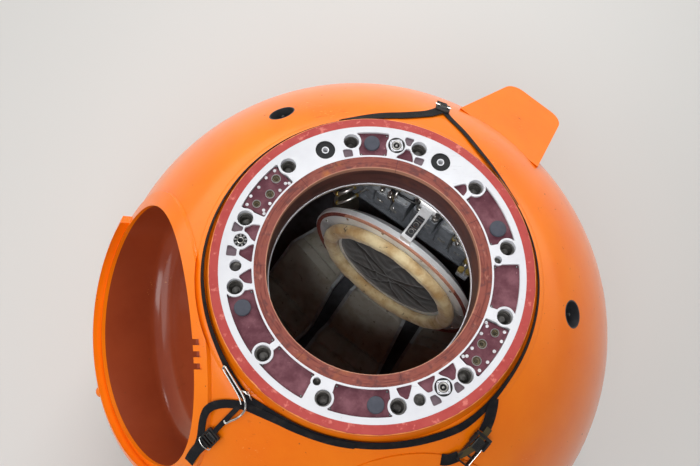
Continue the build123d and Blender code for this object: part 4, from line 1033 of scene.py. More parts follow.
# %% [markdown]
# The recovery straps are flat webbing, pulled tight. Each one is a band carried along a
# smooth path over the dome. A path is a few rows of azimuth in degrees, distance from the
# axis, height over the dome and how flat the band lies there: 0 against the neck, 1 on
# the dome. The weave follows the strap by its UV map, in metres along and across.

# %% Webbing straps


def eased(rows, steps=10):
    """Smooth path through rows of numbers: cubics whose slope is half the step between neighbours."""
    rows = np.asarray(rows, float)
    before = np.vstack([2 * rows[0] - rows[1], rows[:-1]])
    after = np.vstack([rows[1:], 2 * rows[-1] - rows[-2]])
    slope = (after - before) / 2
    t = np.linspace(0, 1, steps, endpoint=False)[:, None, None]
    path = (2 * t**3 - 3 * t**2 + 1) * rows[:-1] + (t**3 - 2 * t**2 + t) * slope[:-1]
    path = path + (3 * t**2 - 2 * t**3) * rows[1:] + (t**3 - t**2) * slope[1:]
    return np.vstack([path.transpose(1, 0, 2).reshape(-1, rows.shape[1]), rows[-1:]])


def over_dome(rows):
    """Places and upward directions for rows of azimuth, distance from the axis, height and flatness."""
    turn, radius, height, flat = np.asarray(rows, float).T
    turn = np.radians(turn)
    level = np.stack([np.cos(turn), np.sin(turn), np.zeros(len(turn))], -1)
    out = level * radius[:, None] + [0, 0, 1] * np.sqrt(DOME_R**2 - radius**2)[:, None]
    out /= DOME_R
    neck = level * 0.925 + [0, 0, 0.378]
    up = flat[:, None] * out + (1 - flat[:, None]) * neck
    up /= np.linalg.norm(up, axis=1, keepdims=True)
    return DOME_CENTRE + out * (DOME_R + height[:, None]), up


def band_profile(width, thickness):
    """Flat oblong whose two edges are rounded."""
    half, edge = width / 2, thickness / 2
    return np.array([
        (half - edge, -edge), (half, 0), (half - edge, edge), (half * 0.5, edge * 0.94), (0, edge * 0.9),
        (-half * 0.5, edge * 0.94), (edge - half, edge), (-half, 0), (edge - half, -edge), (0, -edge),
    ])


STRAP_THICKNESS = 0.0024


def strap(rows, width, closed=False):
    """Band of webbing over the dome, with how far along and how far across each point is."""
    path, up = over_dome(eased(rows))
    if closed:
        path, up = path[:-1], up[:-1]
    profile = band_profile(width, STRAP_THICKNESS)
    points, faces = swept(path, profile, up, closed)
    along = np.concatenate([[0], np.cumsum(np.linalg.norm(np.diff(path, axis=0), axis=1))])
    place = np.stack([np.repeat(along, len(profile)), np.tile(profile[:, 0], len(path))], -1)
    return points, faces, place


def add_webbing(name, straps, finish, **settings):
    """One piece from several straps, with a UV map in metres along and across."""
    piece = add_piece(name, joined(*[row[:2] for row in straps]), finish, **settings)
    place = np.concatenate([row[2] for row in straps])
    corners = np.empty(len(piece.data.loops), int)
    piece.data.loops.foreach_get("vertex_index", corners)
    piece.data.uv_layers.new(name="along").data.foreach_set("uv", place[corners].ravel())
    return piece


# %% [markdown]
# A loop lies round the neck and crosses the dome a little at the near side. A strap and
# its return run over the far side to a buckle, and two tails hang from the near side.
# A short wide strap, a buckle and an olive pull stand at the near right.

# %% The straps' paths
NECK_LOOP = (
    (0, 0.5085, 0.0105, 0.05), (40, 0.5085, 0.0105, 0.05), (80, 0.5085, 0.0105, 0.05),
    (120, 0.5085, 0.0105, 0.05), (150, 0.5085, 0.0105, 0.05), (177, 0.5100, 0.0110, 0.05),
    (191, 0.5085, 0.0105, 0.05), (201, 0.5085, 0.0105, 0.05), (208, 0.5105, 0.0100, 0.1),
    (214, 0.5150, 0.0085, 0.3), (220, 0.5220, 0.0065, 0.6), (226, 0.5280, 0.0050, 0.9),
    (232, 0.5200, 0.0055, 0.8), (238, 0.5145, 0.0070, 0.6), (246, 0.5125, 0.0075, 0.5),
    (260, 0.5120, 0.0075, 0.5), (275, 0.5140, 0.0070, 0.5), (286, 0.5180, 0.0065, 0.6),
    (294, 0.5230, 0.0055, 0.7), (300, 0.5260, 0.0050, 0.8), (308, 0.5210, 0.0065, 0.5),
    (320, 0.5110, 0.0100, 0.1), (340, 0.5085, 0.0105, 0.05), (360, 0.5085, 0.0105, 0.05),
)
FAR_STRAP = (
    (101, 0.5110, 0.0135, 0.05), (94, 0.5190, 0.0090, 0.5), (86, 0.538, 0.005, 0.9),
    (78, 0.563, 0.004, 1), (71.5, 0.605, 0.004, 1), (68.5, 0.645, 0.006, 1), (67.3, 0.675, 0.010, 1),
)
FAR_RETURN = (
    (67.0, 0.665, 0.008, 1), (64, 0.636, 0.004, 1), (59, 0.603, 0.004, 0.9), (51, 0.560, 0.005, 0.7),
    (42, 0.531, 0.0085, 0.4), (33, 0.5130, 0.0130, 0.1), (26, 0.5110, 0.0130, 0.05),
)
FAR_END = ((67.4, 0.680, 0.006, 1), (67.8, 0.715, 0.002, 1), (68.4, 0.750, 0.0008, 1))
LOOSE_TAIL = (
    (264, 0.5140, 0.0105, 0.5), (257, 0.5145, 0.0105, 0.5), (250, 0.5150, 0.0105, 0.5),
    (244, 0.5170, 0.0100, 0.6), (238, 0.5210, 0.0090, 0.8), (232, 0.5320, 0.0080, 1),
    (227, 0.5480, 0.0070, 1), (223.0, 0.5760, 0.0070, 1), (220.7, 0.6030, 0.0110, 1),
    (220.1, 0.6250, 0.0170, 1), (220.6, 0.6440, 0.0170, 1), (221.6, 0.6620, 0.0170, 1),
    (222.8, 0.6800, 0.0170, 1), (223.8, 0.6980, 0.0165, 1), (224.4, 0.7180, 0.0160, 1),
    (224.6, 0.7400, 0.0160, 1),
)
BUCKLE_TAIL = (
    (225.2, 0.6880, 0.0120, 1), (225.0, 0.7040, 0.0155, 1), (224.8, 0.7200, 0.0205, 1),
    (224.8, 0.7430, 0.0205, 1), (225.0, 0.7660, 0.0185, 1),
)
SHORT_PULL = (
    (226.2, 0.548, 0.013, 1), (225.9, 0.580, 0.014, 1), (225.7, 0.607, 0.016, 1),
    (225.5, 0.635, 0.0175, 1), (225.4, 0.660, 0.0165, 1),
)
CORNER_PULL = (
    (313, 0.518, 0.0092, 0.4), (310.5, 0.534, 0.0095, 0.9), (307.5, 0.553, 0.012, 1),
    (304.5, 0.567, 0.014, 1),
)
CORNER_END = ((295.0, 0.590, 0.012, 1), (292.0, 0.590, 0.008, 1), (290.0, 0.584, 0.004, 1))
OLIVE_PULL = (
    (306.5, 0.566, 0.020, 1), (303, 0.574, 0.0215, 1), (299, 0.584, 0.0215, 1), (295.0, 0.588, 0.016, 1),
)
straps = [
    strap(NECK_LOOP, 0.028, True), strap(FAR_STRAP, 0.038), strap(FAR_RETURN, 0.024), strap(FAR_END, 0.038),
    strap(LOOSE_TAIL, 0.026), strap(BUCKLE_TAIL, 0.034), strap(SHORT_PULL, 0.016),
    strap(CORNER_PULL, 0.040), strap(CORNER_END, 0.038),
]
add_webbing("recovery_straps", straps, "black_webbing", replaces=("neck_strap",))
add_webbing("olive_pull", [strap(OLIVE_PULL, 0.024)], "khaki_webbing", slot="black_webbing")
print("webbing:", round(sum(row[2][:, 0].max() for row in straps), 2), "m of strap")

# %% [markdown]
# A cam buckle is a frame with three bars across it and a sprung lever on top, and the near
# left one has a wire bail. All of it is built flat about its own middle, with x across
# the strap and y along it, and then placed on the dome.

# %% Buckles


def bar(width, length, low, high, place=(0, 0), corner=0.002):
    """Small block with round corners and a bevelled top."""
    levels = ((1, low), (1, high - 0.0012), (0.94, high - 0.0003), (0.9, high))
    return stacked(oblong(width, length, corner) + np.array(place), levels)


def cam_buckle(width, length):
    """Frame, three cross bars and a lever with a ridged thumb pad."""
    opening = oblong(width - 0.009, length - 0.010, 0.003)
    parts = [holed(oblong(width, length, 0.005), opening, 0, 0.009, 0.0012)]
    for share in (-0.22, 0.02, 0.26):
        parts.append(bar(width - 0.008, 0.0055, 0.001, 0.0085, (0, length * share)))
    parts.append(bar(width * 0.66, length * 0.36, 0.008, 0.0135, (0, length * 0.20), 0.003))
    for share in (0.12, 0.17, 0.22, 0.27):
        parts.append(bar(width * 0.56, 0.0016, 0.0132, 0.0146, (0, length * share), 0.0006))
    return joined(*parts)


def wire(path, radius, up=(0, 0, 1), closed=False, count=10):
    """Round wire along a path of points."""
    return swept(path, circle(radius, count), up, closed)


FAR_BUCKLE = turned(on_dome(67.4, 43.7, 0.009), 4)
NEAR_BUCKLE = turned(on_dome(225.5, 43.9, 0.011), -4)
CORNER_BUCKLE = turned(on_dome(299.4, 37.4, 0.010), -66)
buckle_shapes = [
    placed(cam_buckle(0.050, 0.054), [FAR_BUCKLE]),
    placed(cam_buckle(0.046, 0.056), [NEAR_BUCKLE]),
    placed(cam_buckle(0.050, 0.104), [CORNER_BUCKLE]),
]
hook_bars = [bar(0.007, 0.034, 0.004, 0.016, (side * 0.0285, 0.030)) for side in (-1, 1)]
hook_bars.append(bar(0.064, 0.009, 0.006, 0.015, (0, 0.050)))
buckle_shapes.append(placed(joined(*hook_bars), [CORNER_BUCKLE]))
add_piece("cam_buckles", joined(*buckle_shapes), "buckle_metal", replaces=("strap_buckles",))

bail = (
    (-0.021, -0.020, 0.004), (-0.022, -0.034, 0.007), (0, -0.041, 0.009), (0.022, -0.034, 0.007),
    (0.021, -0.020, 0.004),
)
bails = [placed(wire(eased(bail, 8), 0.0016), [NEAR_BUCKLE])]
cross_pin = ((-0.027, 0.006, 0.012), (0.029, 0.006, 0.012))
bails.append(placed(wire(eased(cross_pin, 4), 0.0026), [FAR_BUCKLE]))
edge_wire = ((0.0268, -0.045, 0.008), (0.0268, 0.030, 0.008))
bails.append(placed(wire(eased(edge_wire, 4), 0.0016), [CORNER_BUCKLE]))
add_piece("buckle_wires", joined(*bails), "steel_hardware")

# %% [markdown]
# The steel hook lies along the neck: a straight spine, a bent lower end and a sprung
# gate beside the spine. A small ring joins it to the loop, and two turns of the ring
# stand up beside the hook.

# %% Snap hook and ring
HOOK_SPINE = (
    (214.3, 0.5230, 0.016, 1), (214.1, 0.5160, 0.017, 1), (215.4, 0.5132, 0.018, 1),
    (219.0, 0.5154, 0.018, 1), (223.7, 0.5212, 0.018, 1), (226.3, 0.5285, 0.019, 1),
    (227.9, 0.5400, 0.019, 1), (228.4, 0.5560, 0.019, 1), (228.0, 0.5760, 0.019, 1),
    (227.0, 0.5960, 0.018, 1), (226.3, 0.6100, 0.018, 1), (225.5, 0.6080, 0.018, 1),
)
HOOK_GATE = (
    (214.3, 0.5230, 0.016, 1), (215.6, 0.5245, 0.016, 1), (218.6, 0.5262, 0.016, 1),
    (222.3, 0.5310, 0.016, 1), (224.9, 0.5370, 0.017, 1), (226.3, 0.5440, 0.018, 1),
)
hook_parts = []
for rows, radius in ((HOOK_SPINE, 0.0034), (HOOK_GATE, 0.0024)):
    hook_parts.append(wire(over_dome(eased(rows, 8))[0], radius, (0.3, 0.2, 1)))
LEAN_BACK = np.array([[1, 0, 0], [0, 0.5, -0.87], [0, 0.87, 0.5]])
RING_SPOTS = (turned(on_dome(225.2, 31.9, 0.020), 20), turned(on_dome(226.6, 31.8, 0.018), -25))
ring_turn = np.column_stack([circle(0.0145, 28), np.zeros(28)])
ring_wire = wire(ring_turn, 0.0018, closed=True, count=8)
for centre, axes in RING_SPOTS:
    hook_parts.append(placed(ring_wire, [(centre, axes @ LEAN_BACK)]))
add_piece("snap_hook", joined(*hook_parts), "steel_hardware", replaces=("lift_ring",))

# %% [markdown]
# The lid hangs open on a hinge below the ring, on the side of the sight. Its pieces are
# worked out flat about its middle and then turned with it: along the lid away from the
# hinge, across it, and out of its face.

# %% The lid's own directions
SIGHT = radians(54)
TOWARDS_SIGHT = np.array([cos(SIGHT), sin(SIGHT), 0])
TO_ITS_LEFT = np.array([-sin(SIGHT), cos(SIGHT), 0])
UP = np.array([0, 0, 1.0])
SIGHT_AXES = np.stack([TOWARDS_SIGHT, TO_ITS_LEFT, UP], -1)
HINGE_R = 0.386
HINGE_HEIGHT = 1.571
LID_OPEN = radians(87)
LID_ALONG = -TOWARDS_SIGHT * cos(LID_OPEN) - UP * sin(LID_OPEN)
LID_FACE = -TOWARDS_SIGHT * sin(LID_OPEN) + UP * cos(LID_OPEN)
HINGE_PLACE = TOWARDS_SIGHT * HINGE_R + UP * HINGE_HEIGHT
LID_CENTRE = HINGE_PLACE + LID_ALONG * HINGE_R + LID_FACE * 0.156
LID_AXES = np.stack([LID_ALONG, np.cross(LID_FACE, LID_ALONG), LID_FACE], -1)
LID_SPOT = [(LID_CENTRE, LID_AXES)]
print("middle of the lid's face:", LID_CENTRE.round(3))

# %% [markdown]
# Padding is blown up a little as cloth under pressure. The piece is first made of even
# small faces, and no point may move further than a cap, so that it keeps its shape.

# %% Padding blown up as cloth


def read_points(mesh):
    """Mesh points as an array."""
    points = np.empty(len(mesh.vertices) * 3)
    mesh.vertices.foreach_get("co", points)
    return points.reshape(-1, 3)


def write_points(mesh, points):
    """Puts an array of points back into a mesh."""
    mesh.vertices.foreach_set("co", np.ascontiguousarray(points, float).ravel())
    mesh.update()


CLOTH_FRAMES = 20
PRESSURE = 4.0


def blown_up(piece, voxel, cap):
    """Even small faces, then cloth under pressure for some frames; no point moves more than the cap."""
    remesh = piece.modifiers.new("even faces", "REMESH")
    remesh.mode = "VOXEL"
    remesh.voxel_size = voxel
    keep_modifiers(piece)
    before = read_points(piece.data)
    cloth = piece.modifiers.new("padding", "CLOTH").settings
    cloth.use_pressure = True
    cloth.uniform_pressure_force = PRESSURE
    cloth.effector_weights.gravity = 0
    cloth.tension_stiffness = 12
    cloth.compression_stiffness = 8
    cloth.bending_stiffness = 0.6
    scene = bpy.context.scene
    for step in range(1, CLOTH_FRAMES + 1):
        scene.frame_set(step)
        bpy.context.view_layer.update()
    keep_modifiers(piece)
    scene.frame_set(1)
    moved = read_points(piece.data) - before
    far = np.linalg.norm(moved, axis=1, keepdims=True)
    write_points(piece.data, before + moved * np.minimum(1, cap / np.maximum(far, 1e-9)))


def divided(piece):
    """One level of subdivision, kept in the mesh, shaded smooth."""
    piece.modifiers.new("finer", "SUBSURF").levels = 1
    piece.modifiers["finer"].render_levels = 1
    keep_modifiers(piece)
    piece.data.polygons.foreach_set("use_smooth", np.ones(len(piece.data.polygons), bool))


# %% [markdown]
# A padded ring lies on the open lid, round and fat in its stained cream cover. It
# starts as a slimmer ring with a flattened section and is blown up. Gathers are pressed
# in afterwards, across the ring, with a furrow along its top and slow waves in its height.

# %% Padded ring on the lid
PAD_MIDDLE = 0.2705
PAD_HALF = 0.0315
PAD_TALL = 0.0400
PAD_TOP = 0.0475
section = circle(1, 28)
section = np.sign(section) * np.abs(section) ** np.array([0.72, 0.62])
section = section * [PAD_HALF, PAD_TALL / 2] + [PAD_MIDDLE, PAD_TALL / 2 + 0.001]
slim_ring = spun(section, 180)
pad_ring = add_piece("lid_pad_ring", slim_ring, "cream_cushion", body=LID, replaces=("lid_cushion",))
blown_up(pad_ring, 0.005, 0.006)
points = read_points(pad_ring.data)
radius = np.hypot(points[:, 0], points[:, 1])
turn = np.arctan2(points[:, 1], points[:, 0])
gathers = 0.5 + 0.5 * np.cos(turn * 34 + 1.1 * np.sin(turn * 5))
edge_share = np.clip(np.abs(radius - PAD_MIDDLE) / PAD_HALF, 0, 1)
high = points[:, 2] > 0.012
points[:, 2] -= np.where(high, 0.0016 * gathers**6 * (0.3 + 0.7 * edge_share), 0)
points[:, 2] -= np.where(high, 0.0022 * np.exp(-(((radius - PAD_MIDDLE) / 0.003) ** 2)), 0)
points[:, 2] += np.where(high, 0.0012 * np.sin(turn * 7 + 1) + 0.0009 * np.sin(turn * 17), 0)
points[:, 2] = np.clip(points[:, 2], 0.0004, PAD_TOP)
write_points(pad_ring.data, points @ LID_AXES.T + LID_CENTRE)
divided(pad_ring)
print("lid pad ring:", len(pad_ring.data.polygons), "faces")

# %% [markdown]
# The middle of the lid is a dark padded cover, slack and creased. It is worked out on
# a grid of radius and angle: its height is a low crown, less a few creases that run from
# the middle outwards and a few that cross them, each a narrow bell curve.

# %% Creased cover in the middle of the lid
COVER_R = 0.2325
COVER_COLUMNS = 200
CREASES = (
    (0.35, 0.9, 0.0042), (1.35, -0.5, 0.0034), (2.2, 0.6, 0.0044),
    (3.05, -0.8, 0.0036), (4.1, 0.5, 0.0048), (5.3, -0.6, 0.0038),
)


def cover_height(radius, turn):
    """Height = crown - radial creases - cross creases + small folds, in metres."""
    share = radius / COVER_R
    height = 0.0150 * (1 - share**6) + 0.0020
    for start, bend, depth in CREASES:
        line = start + bend * (share - 0.5) * 0.5
        off = radius * np.angle(np.exp(1j * (turn - line)))
        height = height - depth * np.exp(-((off / 0.006) ** 2)) * np.sin(pi * np.clip(share, 0, 1)) ** 0.6
    x, y = radius * np.cos(turn), radius * np.sin(turn)
    off = x * 0.8 + y * 0.6 - 0.05 + 0.02 * np.sin(y * 30)
    height = height - 0.0030 * np.exp(-((off / 0.005) ** 2)) * (1 - share**4)
    off = x * 0.3 - y * 0.95 - 0.08 + 0.015 * np.sin(x * 26)
    height = height - 0.0026 * np.exp(-((off / 0.006) ** 2)) * (1 - share**4)
    folds = np.sin(x * 70 + 2 * np.sin(y * 40)) * np.sin(y * 62 + 1.5 * np.sin(x * 35))
    return np.clip(height + 0.0012 * folds * (1 - share**8), 0.0012, 0.0195)


rings = np.linspace(0.004, COVER_R, 70)
cover_turn = np.arange(COVER_COLUMNS) / COVER_COLUMNS * tau
ring_grid, turn_grid = np.meshgrid(rings, cover_turn, indexing="ij")
height = cover_height(ring_grid, turn_grid)
top = np.stack([ring_grid * np.cos(turn_grid), ring_grid * np.sin(turn_grid), height], -1)
skirt = top[-1:].copy()
skirt[..., 2] = 0.0005
cover_points = np.concatenate([top, skirt]).reshape(-1, 3)
cover = placed((cover_points, tube_faces(len(rings) + 1, COVER_COLUMNS)), LID_SPOT)
lid_cover = add_piece("lid_middle_cover", cover, "lid_cover_dark", body=LID, replaces=("lid_cover",))

# %% [markdown]
# Three couches lie round the floor, and each has a quilted liner. A liner is a row of
# cross sections along the couch's line: flat below, arched above, thinner where a seam
# crosses it. The seams are bell curves, three along and one every hand's breadth across.

# %% Quilted couch liners
COUCH_LINE = np.array([
    (-0.640, 0.500), (-0.560, 0.400), (-0.200, 0.345), (0.060, 0.350), (0.190, 0.640), (0.440, 0.660),
])
COUCHES = ((0.0, 0.0), (13.0, 0.395), (-13.0, -0.395))
LINER_ENDS = (-0.638, 0.438)
LINER_LOW = 0.0302
LINER_THICK = 0.043
LINER_EDGE = 0.002
SEAM_STEP = 0.095


def couch_liner(turn, aside, stations=150, count=36):
    """Cross sections with height = thickness x arch x end rounding - seams, on the couch's line."""
    x = np.linspace(*LINER_ENDS, stations)[:, None]
    line = np.interp(x, COUCH_LINE[:, 0], COUCH_LINE[:, 1])
    half = np.interp(x, [0.0, 0.45], [0.165, 0.085])
    across = np.cos(np.linspace(0, pi, count))[None, :]
    arch = (1 - np.abs(across) ** 5) ** 0.5
    share = (x - LINER_ENDS[0]) / (LINER_ENDS[1] - LINER_ENDS[0])
    ends = np.clip(1 - np.abs(2 * share - 1) ** 24, 0, 1) ** 0.5
    seam = np.exp(-(((np.mod(x, SEAM_STEP) - SEAM_STEP / 2) / 0.006) ** 2)) * 0.011
    for place in (-0.36, 0.36):
        seam = np.maximum(seam, np.exp(-(((across - place) * half / 0.005) ** 2)) * 0.009)
    top = line + LINER_LOW + LINER_EDGE + (LINER_THICK - LINER_EDGE - seam) * arch * ends
    foot = np.broadcast_to(line + LINER_LOW, top.shape)
    side = np.broadcast_to(across * half, top.shape)
    along = np.broadcast_to(x, top.shape)
    lower = np.stack([along, side, foot], -1)
    upper = np.stack([along, side, top], -1)[:, ::-1]
    points = np.concatenate([lower, upper], 1) @ (SIGHT_AXES @ spin(-turn)).T + TO_ITS_LEFT * aside
    return points.reshape(-1, 3), tube_faces(stations, 2 * count)


liner_shape = joined(*[couch_liner(*row) for row in COUCHES])
liners = add_piece("couch_liners", liner_shape, "couch_fabric", replaces=("couch_pads",))
print("couch liners:", len(liners.data.polygons), "faces")

# %% [markdown]
# Behind the lid the cabin wall is crowded. Connectors stand on top of the boxes, some of
# them with a wire bail over them. A place in the cabin is given by the distance towards
# the sight, the distance to its left, and the height.


# %% Connectors on top of the boxes
def in_cabin(towards, left, height, lean=0.0):
    """Spot in the cabin with its directions squared to the sight and turned by lean."""
    place = TOWARDS_SIGHT * towards + TO_ITS_LEFT * left + UP * height
    return turned((place, SIGHT_AXES), lean)


def plug(radius, height):
    """Connector: a hexagon foot, a coupling ring and a back shell, turned about the upright."""
    foot = stacked(circle(radius, 6), ((1, 0), (1, height * 0.22), (0.96, height * 0.26)))
    ring_levels = ((1, height * 0.25), (1, height * 0.58), (0.94, height * 0.64))
    shell_levels = ((1, height * 0.62), (1, height * 0.9), (0.8, height))
    ring = stacked(circle(radius * 0.92, 20), ring_levels)
    return joined(foot, ring, stacked(circle(radius * 0.66, 16), shell_levels))


def wire_bail(radius, height):
    """Wire that stands over a connector in a half circle: x = r cos t, z = h sin t, a little squared."""
    turn = np.linspace(0, pi, 15)
    arch = np.stack([radius * np.cos(turn), np.zeros(15), height * np.sin(turn) ** 0.7], -1)
    return wire(arch, 0.0013, (0, 1, 0), count=8)


PLUG_TOP = 1.546
BAIL_TOP = 1.549
PLUGS = (
    (0.358, 0.142, 1.500, 0.0150), (0.360, 0.180, 1.500, 0.0120), (0.392, 0.166, 1.500, 0.0165),
    (0.366, 0.224, 1.510, 0.0150), (0.366, 0.254, 1.510, 0.0120), (0.400, 0.240, 1.510, 0.0160),
    (0.360, -0.152, 1.500, 0.0150), (0.360, -0.186, 1.500, 0.0120), (0.394, -0.170, 1.500, 0.0160),
    (0.366, -0.232, 1.510, 0.0140), (0.366, -0.260, 1.510, 0.0120), (0.400, -0.245, 1.510, 0.0160),
    (0.380, -0.036, 1.510, 0.0150), (0.380, 0.030, 1.510, 0.0150), (0.412, -0.004, 1.510, 0.0190),
)
plugs, bails = [], []
for towards, left, low, size in PLUGS:
    spot = in_cabin(towards, left, low, 900 * left)
    plugs.append(placed(plug(size, min(0.034, PLUG_TOP - low)), [spot]))
add_piece("cabin_plugs", joined(*plugs), "silver_metal")
for towards, left, low, size in PLUGS[::2]:
    spot = in_cabin(towards, left, low, 1300 * left + 30)
    bails.append(placed(wire_bail(size * 1.25, BAIL_TOP - low), [spot]))
add_piece("plug_bails", joined(*bails), "steel_hardware")
print(len(plugs), "connectors and", len(bails), "bails")

# %% [markdown]
# More connectors stand on the sloping fronts of the boxes and look up at the hatch.
# Each is a square flange with a coupling ring, a dark face and a ring of pins.

# %% Connectors on the fronts of the boxes
FACE_LEAN = radians(52)
FACING = UP * cos(FACE_LEAN) - TOWARDS_SIGHT * sin(FACE_LEAN)
FACE_AXES = np.stack([TO_ITS_LEFT, np.cross(FACING, TO_ITS_LEFT), FACING], -1)


def on_front(towards, left, height, lean=0.0):
    """Spot on the front of a box, looking up and back towards the hatch."""
    return turned((TOWARDS_SIGHT * towards + TO_ITS_LEFT * left + UP * height, FACE_AXES), lean)


def receptacle(radius):
    """Connector on a box's front: square flange, coupling ring and pins."""
    square = oblong(radius * 2.1, radius * 2.1, radius * 0.3)
    bore, rim, lip = radius * 0.62, radius * 0.92, radius * 0.66
    ring_line = ((bore, 0.002), (rim, 0.002), (rim, 0.008), (radius * 0.86, 0.0092), (lip, 0.0092))
    parts = [stacked(square, ((1, -0.012), (1, 0.002), (0.97, 0.0028))), spun(ring_line, 26)]
    for x, y in circle(radius * 0.36, 6):
        parts.append(stacked(circle(0.0011, 8) + [x, y], ((1, 0.002), (1, 0.0072), (0.6, 0.0082))))
    return joined(*parts)


FRONTS = (
    (0.3535, 0.111, 1.447, 0.0155), (0.3625, -0.094, 1.447, 0.0155), (0.3735, 0.022, 1.470, 0.0125),
    (0.3735, -0.022, 1.470, 0.0125), (0.3530, 0.172, 1.448, 0.0130), (0.3530, -0.168, 1.448, 0.0130),
    (0.3735, 0.022, 1.432, 0.0110), (0.3735, -0.022, 1.432, 0.0110), (0.3590, 0.240, 1.452, 0.0140),
    (0.3590, -0.245, 1.452, 0.0140),
)
fronts, faces, bails = [], [], []
for towards, left, low, size in FRONTS:
    spot = [on_front(towards, left, low)]
    fronts.append(placed(receptacle(size), spot))
    faces.append(placed(stacked(circle(size * 0.62, 20), ((1, 0.001), (1, 0.0034))), spot))
for towards, left, low, size in FRONTS[:6:2]:
    bails.append(placed(wire_bail(size * 1.15, 0.017), [on_front(towards, left, low, 20 + 900 * left)]))
add_piece("front_receptacles", joined(*fronts), "silver_metal")
add_piece("receptacle_faces", joined(*faces), "black_plastic")
add_piece("front_bails", joined(*bails), "steel_hardware")

# %% [markdown]
# Short metal pipes bend over between the boxes, each with two nuts on it. A pipe is a
# round wire on a smooth path, and a nut is a short thick wire with six sides.

# %% Pipes
CURVE_UP = (0.1, 0.2, 1)


def cabin_path(points):
    """Smooth path through places given by towards, left and height."""
    return eased(points, 8) @ SIGHT_AXES.T


PIPES = (
    (0.0058, ((0.352, 0.118, 1.40), (0.352, 0.120, 1.500), (0.358, 0.123, 1.538), (0.385, 0.128, 1.545),
              (0.430, 0.128, 1.52))),
    (0.0058, ((0.356, -0.132, 1.40), (0.356, -0.132, 1.505), (0.366, -0.134, 1.540), (0.400, -0.136, 1.545),
              (0.440, -0.136, 1.52))),
    (0.0070, ((0.372, 0.262, 1.462), (0.325, 0.270, 1.478), (0.286, 0.286, 1.478), (0.266, 0.312, 1.455),
              (0.290, 0.336, 1.425), (0.345, 0.318, 1.405), (0.385, 0.280, 1.395))),
    (0.0055, ((0.372, 0.236, 1.440), (0.318, 0.248, 1.450), (0.272, 0.268, 1.445), (0.250, 0.300, 1.418),
              (0.284, 0.318, 1.392), (0.345, 0.298, 1.385), (0.385, 0.262, 1.392))),
    (0.0075, ((0.345, -0.292, 1.470), (0.342, -0.292, 1.525), (0.350, -0.294, 1.548), (0.385, -0.297, 1.549),
              (0.410, -0.290, 1.52))),
    (0.0065, ((0.330, -0.312, 1.460), (0.326, -0.312, 1.530), (0.336, -0.314, 1.556), (0.370, -0.312, 1.556),
              (0.392, -0.306, 1.52))),
)
NUT_STATIONS = (9, 22)
NUT_SHARES = np.array([[0], [0.75], [1.5]])
pipes, nuts = [], []
for radius, points in PIPES:
    centre = cabin_path(points)
    pipes.append(wire(centre, radius, CURVE_UP, count=14))
    for k in NUT_STATIONS:
        nut_line = centre[k] + (centre[k + 1] - centre[k]) * NUT_SHARES
        nuts.append(wire(nut_line, radius * 1.5, CURVE_UP, count=6))
add_piece("cabin_pipes", joined(*pipes), "silver_metal")
add_piece("pipe_nuts", joined(*nuts), "yellow_metal")
print(len(pipes), "pipes and", len(nuts), "nuts")

# %% [markdown]
# Three air valves with ribbed brass knobs stand on a block, and a thin hose runs from
# each of them to the boxes.

# %% Air valves
VALVES = ((0.277, -0.2135), (0.314, -0.2150), (0.286, -0.2395))
VALVE_BLOCK = (0.308, -0.226, 1.4765)
VALVE_FOOT = 1.489
RIBS = 40
foot = stacked(circle(0.0115, 6), ((1, 0), (1, 0.010), (0.92, 0.012)))
stem = stacked(circle(0.0062, 18), ((1, 0.011), (1, 0.026)))
ribs = circle(0.0118, RIBS) * np.where(np.arange(RIBS) % 2, 1.0, 0.93)[:, None]
knob = stacked(ribs, ((0.9, 0.024), (1, 0.026), (1, 0.040), (0.88, 0.0435)))
bodies, knobs, hoses = [], [], []
for towards, left in VALVES:
    spot = [in_cabin(towards, left, VALVE_FOOT, 700 * towards)]
    bodies += [placed(foot, spot), placed(stem, spot)]
    knobs.append(placed(knob, spot))
    apart = left + 0.222
    hose = (
        (towards + 0.008, left, 1.505), (towards + 0.020, left - 0.004, 1.522),
        (0.345, -0.222 + 0.4 * apart, 1.526), (0.368, -0.228 + 0.3 * apart, 1.518), (0.380, -0.230, 1.506),
    )
    hoses.append(wire(cabin_path(hose), 0.0036, CURVE_UP, count=12))
block = stacked(oblong(0.083, 0.043, 0.004), ((1, 0), (1, 0.012), (0.97, 0.0135)))
block = placed(block, [in_cabin(*VALVE_BLOCK)])
add_piece("valve_block", block, "box_grey", slot="panel_grey", replaces=("air_valves",))
add_piece("valve_bodies", joined(*bodies, *hoses), "silver_metal")
add_piece("valve_knobs", joined(*knobs), "yellow_metal")

# %% [markdown]
# Thin dark cables join the connectors, close over the boxes.

# %% Cables
CABLES = (
    ((0.412, 0.166, 1.534), (0.404, 0.186, 1.545), (0.398, 0.212, 1.545), (0.412, 0.236, 1.538)),
    ((0.372, -0.155, 1.534), (0.362, -0.176, 1.546), (0.362, -0.212, 1.546), (0.376, -0.232, 1.538)),
    ((0.388, 0.018, 1.544), (0.374, 0.050, 1.547), (0.368, 0.100, 1.547), (0.372, 0.150, 1.534)),
    ((0.412, -0.170, 1.534), (0.428, -0.120, 1.520), (0.440, -0.060, 1.530), (0.428, -0.004, 1.540)),
    ((0.378, 0.256, 1.540), (0.366, 0.282, 1.546), (0.372, 0.306, 1.530), (0.400, 0.318, 1.480)),
)
cables = [wire(cabin_path(points), 0.0048, CURVE_UP) for points in CABLES]
add_piece("cabin_cables", joined(*cables), "black_plastic")
print(len(cables), "cables")

# %% [markdown]
# Each box has a plain cover with a screw in each corner, and a grey wedge lies between
# two of them.

